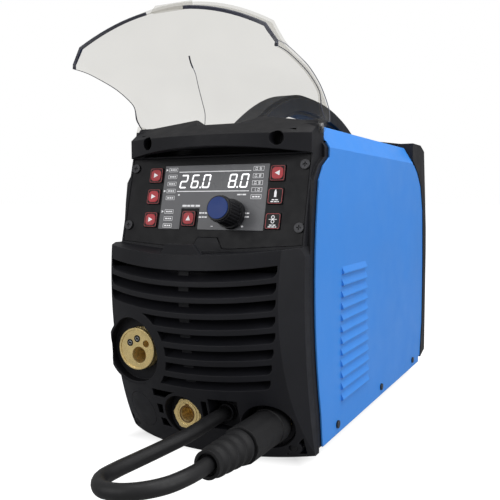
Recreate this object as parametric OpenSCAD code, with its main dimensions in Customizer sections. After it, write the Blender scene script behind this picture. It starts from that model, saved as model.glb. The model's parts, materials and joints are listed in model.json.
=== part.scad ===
// MIG welding machine: a portable inverter welder with a flip-up panel visor, an arched handle,
// a side door over the wire feeder and a short polarity cable on the front.
// X runs to the right as seen from the front, the front faces -Y, and the floor is z = 0.

/* [Housing] */
// Width across the two blue sides
body_w = 200; // [190:1:230]
// Height of the lower edge of the blue sides above the floor
side_low = 10; // [8:0.5:14]
// Height where the side folds into the roof bevel
fold_high = 279; // [276:0.5:284]
// Height of the flat roof
roof_high = 299; // [297:0.5:303]
// Inward run of the roof bevel on each side
bevel_in = 12; // [8:0.5:18]
// Distance of the middle of the side's front edge ahead of the origin
side_front = 178; // [176:0.5:182]
// Distance of the middle of the side's rear edge behind the origin
side_rear = 213; // [210:0.5:220]
// Thickness of the sheet metal
sheet_t = 1.5; // [1:0.1:2]
// Free gap between pieces that sit beside each other
gap = 0.4; // [0.3:0.05:0.6]

/* [Bezels] */
// Radius of the front bezel's bow, seen from above
bow_r = 200; // [190:1:230]
// How far the bow stands ahead of the sides' front edge
bow_out = 63; // [60:0.5:68]
// Height of the bow's most forward point
bow_high = 153; // [140:1:165]
// Wall thickness of the moulded bezels
wall = 3; // [2.5:0.1:4]
// Height of the front bezel's lower edge
bezel_low = 5.5; // [4:0.5:8]
// Depth of the rear bezel behind the sides' rear edge
rear_out = 37; // [34:0.5:44]
// Height of the middle of the front bezel's ridge
ridge_high = 309.5; // [307:0.5:312]
// Height of the rear bezel's ridge, which carries the handle
rear_ridge_high = 312.5; // [309:0.5:314]

/* [Louvres] */
// Number of rows of openings in the front
louvre_rows = 8; // [6:1:8]
// Height of the top row at its outer end
louvre_top = 173.2; // [170:0.1:175]
// Distance between rows
louvre_pitch = 13.55; // [12.5:0.05:13.6]
// Height of each opening
louvre_open = 9.3; // [7:0.1:10]
// Radius of the droop of the rows and of the lip
droop_r = 690; // [600:10:900]
// Depth of the slats from front to back
slat_depth = 14; // [8:0.5:16]
// Upward slant of the slats towards the back
slat_slant = 26; // [12:1:30]

/* [Control panel] */
// Backward lean of the panel
panel_lean = 14; // [12:0.5:15]
// Height of the panel's lower edge
panel_low = 194; // [193:0.5:196]
// Height of the panel plate along its slope
panel_h = 80.5; // [80:0.5:82]
// Thickness of the panel plate
plate_t = 2; // [1.5:0.1:2.5]
// Width of the display window
window_w = 110; // [100:1:112]
// Width and height of each button
button_size = 14; // [12:0.5:14.5]
// Travel of each button
button_travel = 1; // [0.6:0.1:1.2]
// Diameter of the knob's skirt
knob_d = 27; // [24:0.5:28]
// Diameter of the knob's coloured cap
cap_d = 19.6; // [17:0.2:20.4]
// Height of the knob above the panel
knob_out = 28; // [24:0.5:30]

/* [Front fittings] */
// Diameter of the brass face of the torch socket
euro_d = 38.5; // [36:0.5:40]
// Bore of the torch socket
euro_bore = 15; // [12:0.5:16]
// Outer diameter of the torch socket's boss
boss_d = 65; // [62:0.5:68]
// Diameter of the brass output sockets
socket_d = 26; // [24:0.5:27]
// Bore of the output sockets
socket_bore = 13; // [11:0.5:14]
// Diameter of the round blank cap
blank_d = 35; // [32:0.5:36]
// Diameter of the polarity cable
cable_d = 12; // [10:0.5:13]
// Diameter of the polarity plug's collar
plug_d = 33; // [30:0.5:34]
// Diameter of the plug's ribbed boot at its root
boot_d = 29; // [27:0.5:30]

/* [Visor] */
// Thickness of the clear visor
visor_t = 2.2; // [1.8:0.1:2.6]
// Diameter of the visor's pivot pins
pivot_d = 5; // [4:0.5:5.5]
// Radius of the ears round the pivot
ear_r = 6.4; // [5.5:0.1:6.4]
// Angle between the closed and the stored open visor
visor_open = 92; // [90:1:93]

/* [Handle] */
// Width of the handle
handle_w = 28; // [24:1:32]
// Thickness of the handle's arch
handle_t = 22; // [18:0.5:24]
// Extra thickness of the grip sleeve all round
grip_t = 2; // [1.5:0.1:2.5]

/* [Wire feed] */
// Diameter of the wire spool
spool_d = 200; // [180:1:204]
// Width of the wire spool
spool_w = 54; // [45:1:56]
// Diameter of the spool's axle
axle_d = 50; // [44:1:51]
// Diameter of the wound wire
winding_d = 176; // [120:1:180]
// Diameter of the drive roll
roll_d = 30; // [26:0.5:30]
// Diameter of the pressure roll
press_d = 22; // [19:0.5:24]

/* [Rear fittings] */
// Diameter of the fan's blades
fan_d = 84; // [78:1:86]
// Width of the fan's square frame
fan_frame_w = 92; // [90:1:94]

/* [Hidden] */

$fn = 64;
far = 400;
half_w = body_w / 2;
inner_w = half_w - sheet_t;
front_y = -side_front;
rear_y = side_rear;

// Curves of the sides' front and rear edges
edge_r = 480;
edge_mid = 163;
rear_r = 1100;
rear_mid = 100;
function front_edge(z) = front_y + edge_r - sqrt(pow(edge_r, 2) - pow(z - edge_mid, 2));
function rear_edge(z) = rear_y - rear_r + sqrt(pow(rear_r, 2) - pow(z - rear_mid, 2));

// Outline of the blue sides, front edge then rear edge, both from the bottom up
side_front_edge = concat(
  [[front_y + 20, side_low], [front_y + 16, 40]],
  [for (z = [60:21:249]) [front_edge(z), z]],
  [[front_y + 18, 262], [front_y + 33.5, 270.4], [front_y + 33.5, 284],
  [front_y + 31.4, 285], [front_y + 31.4, roof_high + 1]]);
side_rear_edge = concat(
  [[rear_y - 5, side_low], [rear_y - 4, 40]],
  [for (z = [60:26.5:245.5]) [rear_edge(z), z]],
  [[rear_y - 19, 260], [rear_y - 28.5, 265], [rear_y - 51, 278.5],
  [rear_y - 51, roof_high + 1]]);
function flip(points) = [for (i = [len(points) - 1:-1:0]) points[i]];
function shift_y(points, by) = [for (p = points) [p[0] + by, p[1]]];

// Bow of the front bezel
bow_y = front_y - bow_out + bow_r;
bow_drop = 580;
bezel_w = half_w - 2;
crease_out = 20;
flank_angle = 28.44;
flank_n = [cos(flank_angle), -sin(flank_angle)];
cheek_w = half_w - 5;
lip_low = 186;
panel_y = front_y - 14.2;

// Pieces on the panel, as [x, height along the slope]
panel_w = body_w - 14;
button_left = 29 - panel_w / 2;
button_right = panel_w / 2 - 29;
mode_at = [button_left, 63.6];
trigger_at = [button_left, 42.8];
process_at = [button_left, 20.4];
setup_at = [-22, 22];
wire_at = [button_right, 63.6];
gas_at = [button_right, 42.8];
inch_at = [button_right, 20.4];
buttons_at = [mode_at, trigger_at, process_at, setup_at, wire_at, gas_at, inch_at];
knob_at = [23.2, 25.8];
window_low = 12;
window_high = 73;
panel_screws_at = [for (h = [15, 71]) for (x = [4 - panel_w / 2, panel_w / 2 - 4]) [x, h]];
plate_top = -0.5;
board_top = -14.4;
board_t = 1.6;
shaft_d = 6;
running = 0.05;
button_gap = 0.3;

// Front fittings
euro_at = [43 - half_w, 97];
bore_at = [2.5, -5.5];
euro_face = front_y - 44;
dish_floor = euro_face + 9;
left_socket_at = [-10, 40];
right_socket_at = [half_w - 33, 37];
left_socket_face = front_y - 34;
right_socket_face = front_y - 13;
socket_len = 26;
sleeve_d = socket_d + 13;
left_pit_d = sleeve_d + 1;
right_pit_d = sleeve_d + 4;
gland_at = [27, 45];
gland_face = front_y - 27;
blank_at = [38 - half_w, 36];
screw_x = half_w - 17.5;
low_screws_at = [[-screw_x, 15], [screw_x, 15]];
low_screw_y = front_y - 3;
brow_screws_at = [[33 - half_w, 285.6], [half_w - 33, 285.6]];
brow_screw_y = front_y + 11;
rear_screws_at = [for (z = [30, 240]) for (x = [-screw_x, screw_x]) [x, z]];
screw_d = 3;
screw_hole_d = 3.3;

// Visor hinge
pivot_y = front_y + 21.5;
pivot_z = roof_high - 2;
visor_half = half_w - 1.7;

// Wire feed
line_x = euro_at[0] + bore_at[0];
line_z = euro_at[1] + bore_at[1];
spool_at = [96, 152];
spool_x = -inner_w + 12;
divider_x = spool_x + spool_w + 8.5;
roll_y = -97;
roll_z = line_z - roll_d / 2 - 0.4;
press_z = line_z + press_d / 2 + 0.4;
roll_w = 12;
frame_x = line_x + roll_w / 2 + 1.5;
roll_shaft_d = 10;
arm_pivot_y = -133;
arm_pivot_z = 124;
lever_y = -52;

// Rear fittings
fan_at = [38, 150];
fan_front = rear_y + 1;
fan_t = 25;
switch_at = [-45, 190];
inlet_at = [-60, 56];
tail_d = 8;
mains_at = [38, 50];
reach_y = rear_y + rear_out + 5;
inlet_floor = reach_y - 20;
switch_face = rear_y + 32.4;

// Route of the polarity cable, from the gland to the boot's mouth
cable_route = [[27, -206, 45], [27, -228, 45], [24, -262, 42], [17, -290, 39], [11, -314, 37],
  [7, -336, 36], [8, -354, 36], [19, -366, 36], [34, -367, 37], [48, -360, 38], [59, -348, 39],
  [right_socket_at[0] - 2, -334, 40], [right_socket_at[0], -318, 40],
  [right_socket_at[0], -300, 40]];

route_end = cable_route[len(cable_route) - 1];

colour_blue = [0.25, 0.47, 0.82];
colour_black = [0.16, 0.16, 0.18];
colour_plate = [0.13, 0.13, 0.15];
colour_steel = [0.62, 0.63, 0.65];
colour_brass = [0.76, 0.62, 0.35];
colour_red = [0.78, 0.1, 0.12];
colour_clear = [0.88, 0.9, 0.92, 0.35];
colour_green = [0.1, 0.4, 0.22];

// ---------- Helpers ----------

// Extrudes an outline drawn as [y, z] along X, centred, to a full width
module along_x(w) {
  rotate([90, 0, 90])
    translate([0, 0, -w / 2])
      linear_extrude(w)
        children();
}

// Extrudes an outline drawn as [x, z] along Y, from y0 to y1
module along_y(y0, y1) {
  translate([0, y1, 0])
    rotate([90, 0, 0])
      linear_extrude(y1 - y0)
        children();
}

// A round bar along Y at [x, z], from y0 to y1
module rod_y(at, d, y0, y1) {
  along_y(y0, y1)
    translate(at)
      circle(d = d);
}

// A round bar along X at [y, z], from x0 to x1
module rod_x(at, d, x0, x1) {
  translate([x0, at[0], at[1]])
    rotate([0, 90, 0])
      cylinder(d = d, h = x1 - x0);
}

module both_sides() {
  children();
  mirror([1, 0, 0])
    children();
}

// Places its children on the sloping panel: x across, y up the slope, z out of the panel
module on_panel(at = [0, 0], out = 0) {
  translate([0, panel_y, panel_low])
    rotate([90 - panel_lean, 0, 0])
      translate([at[0], at[1], out])
        children();
}

module block(low, high) {
  translate(low)
    cube(high - low);
}

// ---------- Front bezel ----------

function bow_radius(z) = bow_r - pow(z - bow_high, 2) / bow_drop;

module bow(inset) {
  heights = [for (i = [0:14]) bezel_low - 1 + i * (202 - bezel_low) / 14];
  translate([0, bow_y, 0])
    rotate_extrude($fn = 180)
      polygon(concat(
        [[0, heights[0]]],
        [for (z = heights) [bow_radius(z) - inset, z]],
        [[0, heights[14]]]));
}

// Slanted flank plane through the crease that runs ahead of the sides' front edge
module flank(inset) {
  n = 11;
  heights = [for (i = [0:n]) bezel_low - 2 + i * (204 - bezel_low) / n];
  reach = [for (z = heights)
    [flank_n[0] * bezel_w + flank_n[1] * (front_edge(z) - crease_out) - inset, z]];
  rotate([90, 0, -flank_angle])
    translate([0, 0, -far])
      linear_extrude(2 * far)
        polygon(concat([[-far, heights[0]]], reach, [[-far, heights[n]]]));
}

// Front view outline of the lower part, with the drooping lip as its top edge
module lip_outline(inset) {
  intersection() {
    polygon([[-bezel_w + inset, bezel_low + inset], [bezel_w - inset, bezel_low + inset],
      [bezel_w - inset, lip_low - 1], [cheek_w - inset, lip_low + 8],
      [-cheek_w + inset, lip_low + 8], [-bezel_w + inset, lip_low - 1]]);
    difference() {
      translate([-far, bezel_low + inset])
        square([2 * far, 200]);
      translate([0, lip_low + droop_r - inset])
        circle(r = droop_r, $fn = 360);
    }
  }
}

module lower_shell(inset, back) {
  intersection() {
    bow(inset);
    flank(inset);
    mirror([1, 0, 0])
      flank(inset);
    along_y(-far, back)
      lip_outline(inset);
  }
}

// Raised tab in the middle of the lip
module lip_tab() {
  y_front = bow_y - bow_radius(lip_low) + 1.5;
  along_y(y_front, y_front + 5)
    polygon([[-23, lip_low - 4], [23, lip_low - 4], [13.5, lip_low + 9],
      [-13.5, lip_low + 9]]);
}

// Finger pocket behind the tab, for lifting the visor
module finger_seat() {
  intersection() {
    lower_shell(0, front_y);
    block([-26, -far, lip_low - 10], [26, front_y - 20, lip_low + 9]);
  }
}

module finger_pocket() {
  y_front = bow_y - bow_radius(lip_low) + 6.3;
  along_y(y_front, panel_y - 5)
    polygon([[-16, lip_low - 7], [16, lip_low - 7], [22, lip_low + 20], [-22, lip_low + 20]]);
}

// Part above the lip, behind the sloping panel
module upper_block(inset, front, back) {
  rise = 105;
  base_y = panel_y + front;
  top_y = base_y + rise * tan(panel_lean);
  along_x(2 * (cheek_w - inset))
    polygon([[base_y - 2, panel_low - 14], [base_y, panel_low], [top_y, panel_low + rise],
      [back, panel_low + rise], [back, panel_low - 14]]);
}

brow_r = 200;
brow_y = front_y - 21;
brow_low = 280;
brow_high = 290;
ridge_y = front_y + 27.5;

module brow_plate(low, high, inset) {
  translate([0, 0, low])
    linear_extrude(high - low)
      intersection() {
        translate([0, brow_y + brow_r])
          circle(r = brow_r - inset, $fn = 180);
        translate([-cheek_w + inset, brow_y])
          square([2 * (cheek_w - inset), ridge_y - brow_y + 3.5]);
      }
}

module brow(inset) {
  brow_plate(brow_low - 14, brow_high - 0.5, inset);
  hull() {
    brow_plate(brow_high - 1, brow_high, inset + 0.05);
    block([-35 + inset, ridge_y, brow_high], [35 - inset, ridge_y + 3.5, ridge_high - inset]);
    block([-cheek_w + inset, ridge_y - 8.5, brow_high],
      [cheek_w - inset, ridge_y + 3.5, roof_high + 2 - inset]);
  }
}

module brow_recess() {
  drop_r = 617;
  intersection() {
    along_y(-far, 0)
      translate([0, brow_low - drop_r])
        circle(r = drop_r, $fn = 360);
    on_panel([0, 0], -0.02)
      translate([-far, -60, 0])
        cube([2 * far, far, far]);
    block([-far, -far, brow_low - 18], [far, 0, brow_low + 1]);
  }
}

// Flange that reaches back under the sides
module side_flange(inset, lead) {
  reach = 12;
  outline = concat(shift_y(side_front_edge, -lead), flip(shift_y(side_front_edge, reach)));
  intersection() {
    along_x(2 * (inner_w - gap - inset))
      polygon(outline);
    along_y(-far, 0)
      polygon([[-inner_w + gap, bezel_low], [inner_w - gap, bezel_low],
        [inner_w - gap, fold_high], [inner_w - bevel_in - gap, roof_high - sheet_t - gap],
        [-inner_w + bevel_in + gap, roof_high - sheet_t - gap], [-inner_w + gap, fold_high]]);
  }
}

// Round boss of the torch socket, trimmed where it passes the flank
module euro_boss() {
  intersection() {
    rod_y(euro_at, boss_d, euro_face, front_y);
    mirror([1, 0, 0])
      flank(-3);
  }
}

function row_z(i) = louvre_top - 5 - i * louvre_pitch;
arch_r = 1 / (tan(slat_slant) / bow_r - 1 / droop_r) / cos(slat_slant);

function row_reach(z) = half_w + lookup(z, [[66, -26], [112, -18], [182, -15.5]]);

// One opening about its own middle: arched when square on, it droops once it is slanted
module louvre_row(reach) {
  half_open = louvre_open / 2 * cos(slat_slant);
  end_z = -pow(reach, 2) / (2 * arch_r) - half_open;
  intersection() {
    translate([0, -arch_r])
      difference() {
        circle(r = arch_r + half_open, $fn = 360);
        circle(r = arch_r - half_open, $fn = 360);
      }
    polygon(concat(row_end(reach, end_z), flip([for (p = row_end(reach, end_z))
      [-p[0], p[1]]])));
  }
}
function row_end(x, z) = [[x, z + 30], [x, z + 5], [x - 0.8, z + 2.6], [x - 2.5, z + 0.9],
  [x - 6, z - 0.1]];

// Openings between slats that rise towards the back
module louvre_rows_cut() {
  for (i = [0:louvre_rows - 1])
    let (z = row_z(i), nose_y = bow_y - bow_radius(z))
      translate([0, nose_y, z])
        rotate([slat_slant, 0, 0])
          along_y(-12, (front_y - 3 - nose_y) / cos(slat_slant))
            louvre_row(row_reach(z));
}

module small_slots() {
  translate([-40.5, 55.5])
    square([26, 7]);
  translate([-38.5, 38])
    square([11, 9.5]);
  translate([-38, 24.7])
    square([11, 8.3]);
}

module louvre_cut() {
  difference() {
    louvre_rows_cut();
    bow(slat_depth + 2);
    rod_y(euro_at, boss_d + 14, -far, 0);
    block([-half_w, -far, 0], [euro_at[0], 0, euro_at[1] + boss_d / 2 + 8]);
    // the middle rib stays, set back from the slats' front edges
    intersection() {
      bow(9);
      along_y(-far, 0)
        translate([-5, 50])
          square([10, 140]);
    }
  }
  along_y(-far, front_y - 3)
    difference() {
      small_slots();
      translate(left_socket_at)
        circle(d = left_pit_d + 5);
    }
}

module bezel_holes() {
  // dish and bore of the torch socket
  rod_y(euro_at, euro_d + 22, euro_face - 20, dish_floor);
  rod_y(euro_at, euro_d + 2 * gap, euro_face - 20, front_y);
  // pits and bores of the output sockets
  rod_y(left_socket_at, left_pit_d, -far, left_socket_face + 6);
  rod_y(left_socket_at, sleeve_d + 2 * gap, -far, front_y);
  rod_y(right_socket_at, right_pit_d, -far, right_socket_face + 6);
  rod_y(right_socket_at, sleeve_d + 2 * gap, -far, front_y + 20);
  // pocket and bore of the cable gland, and the slot beside it
  block([19, -far, 32], [45.5, gland_face + 4, 61]);
  rod_y(gland_at, cable_d + 5 + 2 * gap, -far, front_y);
  block([11.8, -far, 39], [17.2, gland_face, 58]);
  rod_y(blank_at, blank_d + 2 * gap, -far, front_y);
  for (at = low_screws_at) {
    rod_y(at, 7, -far, low_screw_y);
    rod_y(at, screw_hole_d, -far, front_y + 20);
  }
  for (at = brow_screws_at) {
    rod_y(at, 12.5, -far, brow_screw_y);
    rod_y(at, screw_hole_d, -far, front_y + 40);
  }
  for (at = panel_screws_at)
    on_panel(at, -12)
      cylinder(d = screw_hole_d, h = 20);
  // seat of the torch socket's flange
  rod_y(euro_at, boss_d - 6 + 2 * gap, dish_floor + 8, front_y + 10);
}

module front_bezel() {
  color(colour_black)
    difference() {
      union() {
        difference() {
          union() {
            lower_shell(0, front_y + 16);
            upper_block(0, 0, front_y + 26);
            brow(0);
            euro_boss();
          }
          lower_cavity();
          upper_cavity();
          brow_recess();
        }
        difference() {
          side_flange(0, 8);
          side_flange(wall, 40);
          // room for the door's swinging lower edge
          block([-half_w, front_y + 14, 0], [-inner_w + 6, 0, hinge_z + 8]);
        }
        lip_tab();
        finger_seat();
        fitting_seats();
        both_sides()
          rod_x([pivot_y, pivot_z], pivot_d + 7, cheek_w - 12, cheek_w);
      }
      bezel_holes();
      finger_pocket();
      louvre_cut();
      panel_opening();
      both_sides()
        rod_x([pivot_y, pivot_z], pivot_d, cheek_w - 8, half_w + 5);
      // notch in the ridge
      along_y(-far, 0)
        polygon([[-23.5, ridge_high - 7.2], [23.5, ridge_high - 7.2],
          [35, ridge_high + 0.1], [35, ridge_high + 5], [-35, ridge_high + 5],
          [-35, ridge_high + 0.1]]);
      // room for the visor's ears and side strips
      both_sides() {
        rod_x([pivot_y, pivot_z], 2 * ear_r + 6, cheek_w, half_w + 5);
        block([cheek_w, -far, 284], [half_w + 5, front_y + 27.6, roof_high + 5]);
      }
    }
}

// Hollow of the lower part: deep behind the louvres, one wall deep elsewhere
module lower_cavity() {
  difference() {
    lower_shell(wall, front_y + 17);
    difference() {
      block([-half_w, -far, 60], [half_w, 0, lip_low - slat_depth]);
      lower_shell(slat_depth, front_y + 17);
    }
    block([-half_w, -far, lip_low - 4], [half_w, 0, lip_low + 10]);
  }
  block([-inner_w + 6, front_y - 8, bezel_low + wall], [inner_w - 6, front_y + 17, lip_low - 4]);
}

module upper_cavity() {
  intersection() {
    upper_block(wall, 7, front_y + 40);
    block([-half_w, -far, lip_low - 10], [half_w, 0, brow_low - 4]);
  }
  difference() {
    block([-cheek_w + 14, front_y, brow_low - 6], [cheek_w - 14, ridge_y - 1, brow_high + 4]);
    // posts behind the brow's screws
    for (at = brow_screws_at)
      rod_y(at, 15, brow_screw_y, 0);
  }
}

// Solid seats inside the shell that carry the sockets, the gland and the blank cap
module fitting_seats() {
  intersection() {
    lower_shell(0, front_y + 10);
    union() {
      rod_y(left_socket_at, left_pit_d + 6, -far, left_socket_face + 18);
      rod_y(right_socket_at, right_pit_d + 6, -far, right_socket_face + 18);
      block([9, -far, 29], [48.5, gland_face + 12, 64]);
      rod_y(euro_at, boss_d, -far, dish_floor + 8);
    }
  }
  intersection() {
    lower_shell(0, front_y + 6);
    for (at = low_screws_at)
      rod_y(at, 14, -far, front_y + 6);
  }
}

module panel_opening() {
  on_panel([0, 0], -plate_t - 0.5)
    linear_extrude(40)
      plate_outline(gap);
  on_panel([0, 0], -30)
    translate([-84, 5, 0])
      cube([168, 71, 40]);
}

// ---------- Control panel ----------

module plate_outline(grow) {
  w = panel_w / 2 + grow;
  g = grow;
  polygon([[-w, -g], [-25, -5 - g], [-16 + g, -5 - g], [-10.5 + g, 5 - g], [10.5 - g, 5 - g],
    [16 - g, -5 - g], [25, -5 - g], [w, -g], [w, panel_h + g], [-w, panel_h + g]]);
}

module window_outline(grow) {
  w = window_w / 2 + grow;
  half_b = button_size / 2 + 2.8 - grow;
  difference() {
    translate([-w, window_low - grow])
      square([2 * w, window_high - window_low + 2 * grow]);
    translate([setup_at[0] - half_b, window_low - 5])
      square([2 * half_b, setup_at[1] + half_b - window_low + 5]);
  }
}

module panel_plate() {
  color(colour_plate)
    difference() {
      on_panel([0, 0], plate_top - plate_t)
        linear_extrude(plate_t)
          difference() {
            plate_outline(0);
            window_outline(gap / 2);
            for (b = buttons_at)
              translate(b)
                square(button_size + 2 * button_gap, center = true);
          }
      for (at = panel_screws_at)
        on_panel(at, -10)
          cylinder(d = screw_hole_d, h = 20);
    }
}

module panel_screws() {
  color(colour_steel)
    for (at = panel_screws_at)
      on_panel(at, 0)
        difference() {
          union() {
            translate([0, 0, plate_top])
              cylinder(d = 9, h = 1.8);
            translate([0, 0, -9])
              cylinder(d = screw_d, h = 9);
          }
          for (a = [0, 90])
            rotate([0, 0, a])
              translate([-2, -0.4, plate_top + 0.8])
                cube([4, 0.8, 2]);
        }
}

module display_window() {
  color([0.42, 0.42, 0.43])
    difference() {
      on_panel([0, 0], plate_top - plate_t)
        linear_extrude(plate_t)
          window_outline(0);
      on_panel(knob_at, -10)
        cylinder(d = shaft_d + 3, h = 20);
    }
}

module control_board() {
  color(colour_green) {
    on_panel([0, 0], board_top - board_t)
      translate([-82, 6, 0])
        cube([164, 68, board_t]);
    for (b = buttons_at)
      on_panel(b, board_top - 0.1)
        translate([-3, -3, 0])
          cube([6, 6, 3.5]);
    on_panel([0, 57], board_top - 0.1)
      translate([-40, -11, 0])
        cube([80, 22, 9]);
    on_panel([0, 40], board_top - board_t - 8)
      translate([-20, -12, 0])
        cube([40, 24, 8.1]);
  }
}

module encoder() {
  color(colour_steel)
    on_panel(knob_at, 0)
      difference() {
        union() {
          translate([-6, -6, board_top])
            cube([12, 12, 6.5]);
          translate([0, 0, board_top + 6])
            cylinder(d = 8.5, h = 7);
        }
        translate([0, 0, board_top + 1])
          cylinder(d = shaft_d + 2 * running, h = 20);
      }
}

module encoder_shaft() {
  color(colour_steel)
    on_panel(knob_at, board_top + 1.2)
      cylinder(d = shaft_d, h = knob_out - board_top - 8);
}

module knob() {
  flutes = 24;
  lift = 1;
  color(colour_black)
    on_panel(knob_at, lift)
      difference() {
        union() {
          cylinder(d = knob_d, h = 5);
          cylinder(d = knob_d - 3, h = knob_out - lift - 4);
          translate([0, 0, knob_out - lift - 4])
            cylinder(d = cap_d + 2.6, h = 3);
        }
        for (i = [0:flutes - 1])
          rotate([0, 0, i * 360 / flutes])
            translate([knob_d / 2 - 1.3, 0, 5.4])
              cylinder(d = 1.6, h = knob_out);
        translate([0, 0, -1])
          cylinder(d = shaft_d, h = knob_out - 6);
        translate([0, 0, knob_out - lift - 2])
          cylinder(d = cap_d, h = 3);
        translate([0, 0, -0.5])
          cylinder(d = 16, h = 3);
      }
}

module knob_cap() {
  color([0.2, 0.32, 0.55])
    on_panel(knob_at, knob_out - 2)
      cylinder(d = cap_d, h = 2);
}

module panel_button(at, shade) {
  color(shade)
    on_panel(at, 0) {
      translate([0, 0, -6])
        linear_extrude(7)
          square(button_size, center = true);
      translate([0, 0, board_top + 3.5 + button_travel])
        cylinder(d = 5, h = 8 - board_top - 14, $fn = 32);
      translate([0, 0, -8])
        linear_extrude(3)
          square(button_size + 2, center = true);
    }
}

module mode_button() { panel_button(mode_at, colour_red); }
module trigger_button() { panel_button(trigger_at, colour_red); }
module process_button() { panel_button(process_at, colour_red); }
module setup_button() { panel_button(setup_at, colour_red); }
module wire_button() { panel_button(wire_at, colour_red); }
module gas_test_button() { panel_button(gas_at, colour_black); }
module wire_inch_button() { panel_button(inch_at, colour_black); }

// ---------- Front fittings ----------

module euro_flange() {
  flange_y = dish_floor + 8;
  color(colour_black)
    difference() {
      rod_y(euro_at, boss_d - 6, flange_y, flange_y + 6);
      rod_y(euro_at, euro_d - 6, flange_y - 1, flange_y + 7);
    }
}

euro_holes = [[-7.5, 5], [0.4, 9.3], [10, 5.3]];

module euro_body() {
  color(colour_brass)
    difference() {
      union() {
        rod_y(euro_at, euro_d, euro_face, dish_floor + 8);
        rod_y(euro_at, euro_d - 6, dish_floor + 7, dish_floor + 30);
        rod_y(euro_at + bore_at, 14, dish_floor + 29, dish_floor + 55);
      }
      rod_y(euro_at + bore_at, euro_bore, euro_face - 1, dish_floor + 24);
      rod_y(euro_at + bore_at, 4, euro_face + 5, dish_floor + 60);
      for (h = euro_holes)
        rod_y(euro_at + h, 6.6, euro_face - 1, euro_face + 12);
      for (g = [3, 5.6])
        difference() {
          rod_y(euro_at, euro_d + 5, euro_face + g, euro_face + g + 0.8);
          rod_y(euro_at, euro_d - 1.6, euro_face + g - 1, euro_face + g + 2);
        }
    }
}

module euro_contacts() {
  color(colour_brass)
    for (i = [0, 1])
      difference() {
        rod_y(euro_at + euro_holes[i], 6.6, euro_face + 1, euro_face + 12);
        rod_y(euro_at + euro_holes[i], 3.2, euro_face, euro_face + 10);
      }
}

module blank_cap() {
  color(colour_black)
    difference() {
      intersection() {
        lower_shell(0, front_y);
        rod_y(blank_at, blank_d, -far, front_y - 10);
      }
      lower_shell(wall, front_y + 10);
    }
  // rim that holds the cap from behind
  color(colour_black)
    difference() {
      intersection() {
        lower_shell(wall - 0.1, front_y);
        rod_y(blank_at, blank_d + 6, -far, front_y - 10);
      }
      lower_shell(wall + 2, front_y + 10);
      difference() {
        lower_shell(wall - 0.2, front_y + 1);
        lower_shell(wall, front_y + 2);
        rod_y(blank_at, blank_d - 1, -far, front_y);
      }
    }
}

module socket_brass(at, face) {
  difference() {
    union() {
      rod_y(at, socket_d, face, face + socket_len);
      intersection() {
        rod_y(at, socket_d + 2.6, face + 0.6, face + 8);
        along_y(face, face + 10)
          translate(at)
            circle(d = socket_d + 4, $fn = 6);
      }
    }
    rod_y(at, socket_bore, face - 1, face + socket_len - 4);
    translate([at[0], face + 1, at[1]])
      rotate([90, 0, 0])
        cylinder(d1 = socket_bore, d2 = socket_bore + 6, h = 2.2);
    along_y(face - 1, face + 18)
      translate([at[0] - 2, at[1] + socket_bore / 2 - 1])
        square([4, 3.6]);
  }
}

module output_sockets() {
  color(colour_brass) {
    socket_brass(left_socket_at, left_socket_face);
    socket_brass(right_socket_at, right_socket_face);
  }
}

module socket_sleeve(at, face) {
  difference() {
    rod_y(at, sleeve_d, face + 4, face + 22);
    rod_y(at, socket_d + 4 + gap, face, face + 9);
    rod_y(at, socket_d, face, face + 30);
  }
}

module socket_sleeves() {
  color(colour_black) {
    socket_sleeve(left_socket_at, left_socket_face);
    socket_sleeve(right_socket_at, right_socket_face);
  }
}

module cable_gland() {
  color(colour_black)
    difference() {
      union() {
        rod_y(gland_at, cable_d + 3.6, gland_face - 2, gland_face + 4);
        rod_y(gland_at, cable_d + 5, gland_face + 3, gland_face + 26);
      }
      rod_y(gland_at, cable_d, gland_face - 3, gland_face + 27);
    }
}

// ---------- Polarity cable and plug ----------

// Smooth curve through the route's points
function tangent(p, i) = i == 0 ? [0, -1, 0] * norm(p[1] - p[0]) :
  i == len(p) - 1 ? [0, 1, 0] * norm(p[i] - p[i - 1]) : (p[i + 1] - p[i - 1]) / 2;
function on_curve(p, i, t) = let (a = tangent(p, i), b = tangent(p, i + 1))
  (2 * pow(t, 3) - 3 * pow(t, 2) + 1) * p[i] + (pow(t, 3) - 2 * pow(t, 2) + t) * a
  + (3 * pow(t, 2) - 2 * pow(t, 3)) * p[i + 1] + (pow(t, 3) - pow(t, 2)) * b;
function curve(p, steps) = concat(
  [for (i = [0:len(p) - 2]) for (k = [0:steps - 1]) on_curve(p, i, k / steps)],
  [p[len(p) - 1]]);
function unit(v) = v / norm(v);
function path_dir(c, i) = i == 0 ? [0, -1, 0] : i == len(c) - 1 ? [0, 1, 0] :
  unit(c[i + 1] - c[i - 1]);
// Side vectors carried along the curve without twist
function sides(c, i = 0, s = [1, 0, 0], out = []) = i == len(c) ? out :
  let (d = path_dir(c, i), v = unit(s - (s * d) * d)) sides(c, i + 1, v, concat(out, [v]));

module tube(points, d, n) {
  dirs = [for (i = [0:len(points) - 1]) path_dir(points, i)];
  side = sides(points);
  rings = [for (i = [0:len(points) - 1]) for (k = [0:n - 1])
    points[i] + d / 2 * (cos(360 * k / n) * side[i]
      + sin(360 * k / n) * cross(dirs[i], side[i]))];
  last = (len(points) - 1) * n;
  faces = concat(
    [[for (k = [n - 1:-1:0]) k]],
    [for (i = [0:len(points) - 2]) for (k = [0:n - 1])
      [i * n + k, i * n + (k + 1) % n, (i + 1) * n + (k + 1) % n, (i + 1) * n + k]],
    [[for (k = [0:n - 1]) last + k]]);
  polyhedron(rings, [for (f = faces) flip(f)], convexity = 10);
}

module polarity_cable() {
  color(colour_black)
    tube(curve(cable_route, 3), cable_d, 12);
}

plug_face = right_socket_face - 8;
boot_root = right_socket_face - 64;
boot_mouth = right_socket_face - 116;

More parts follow.
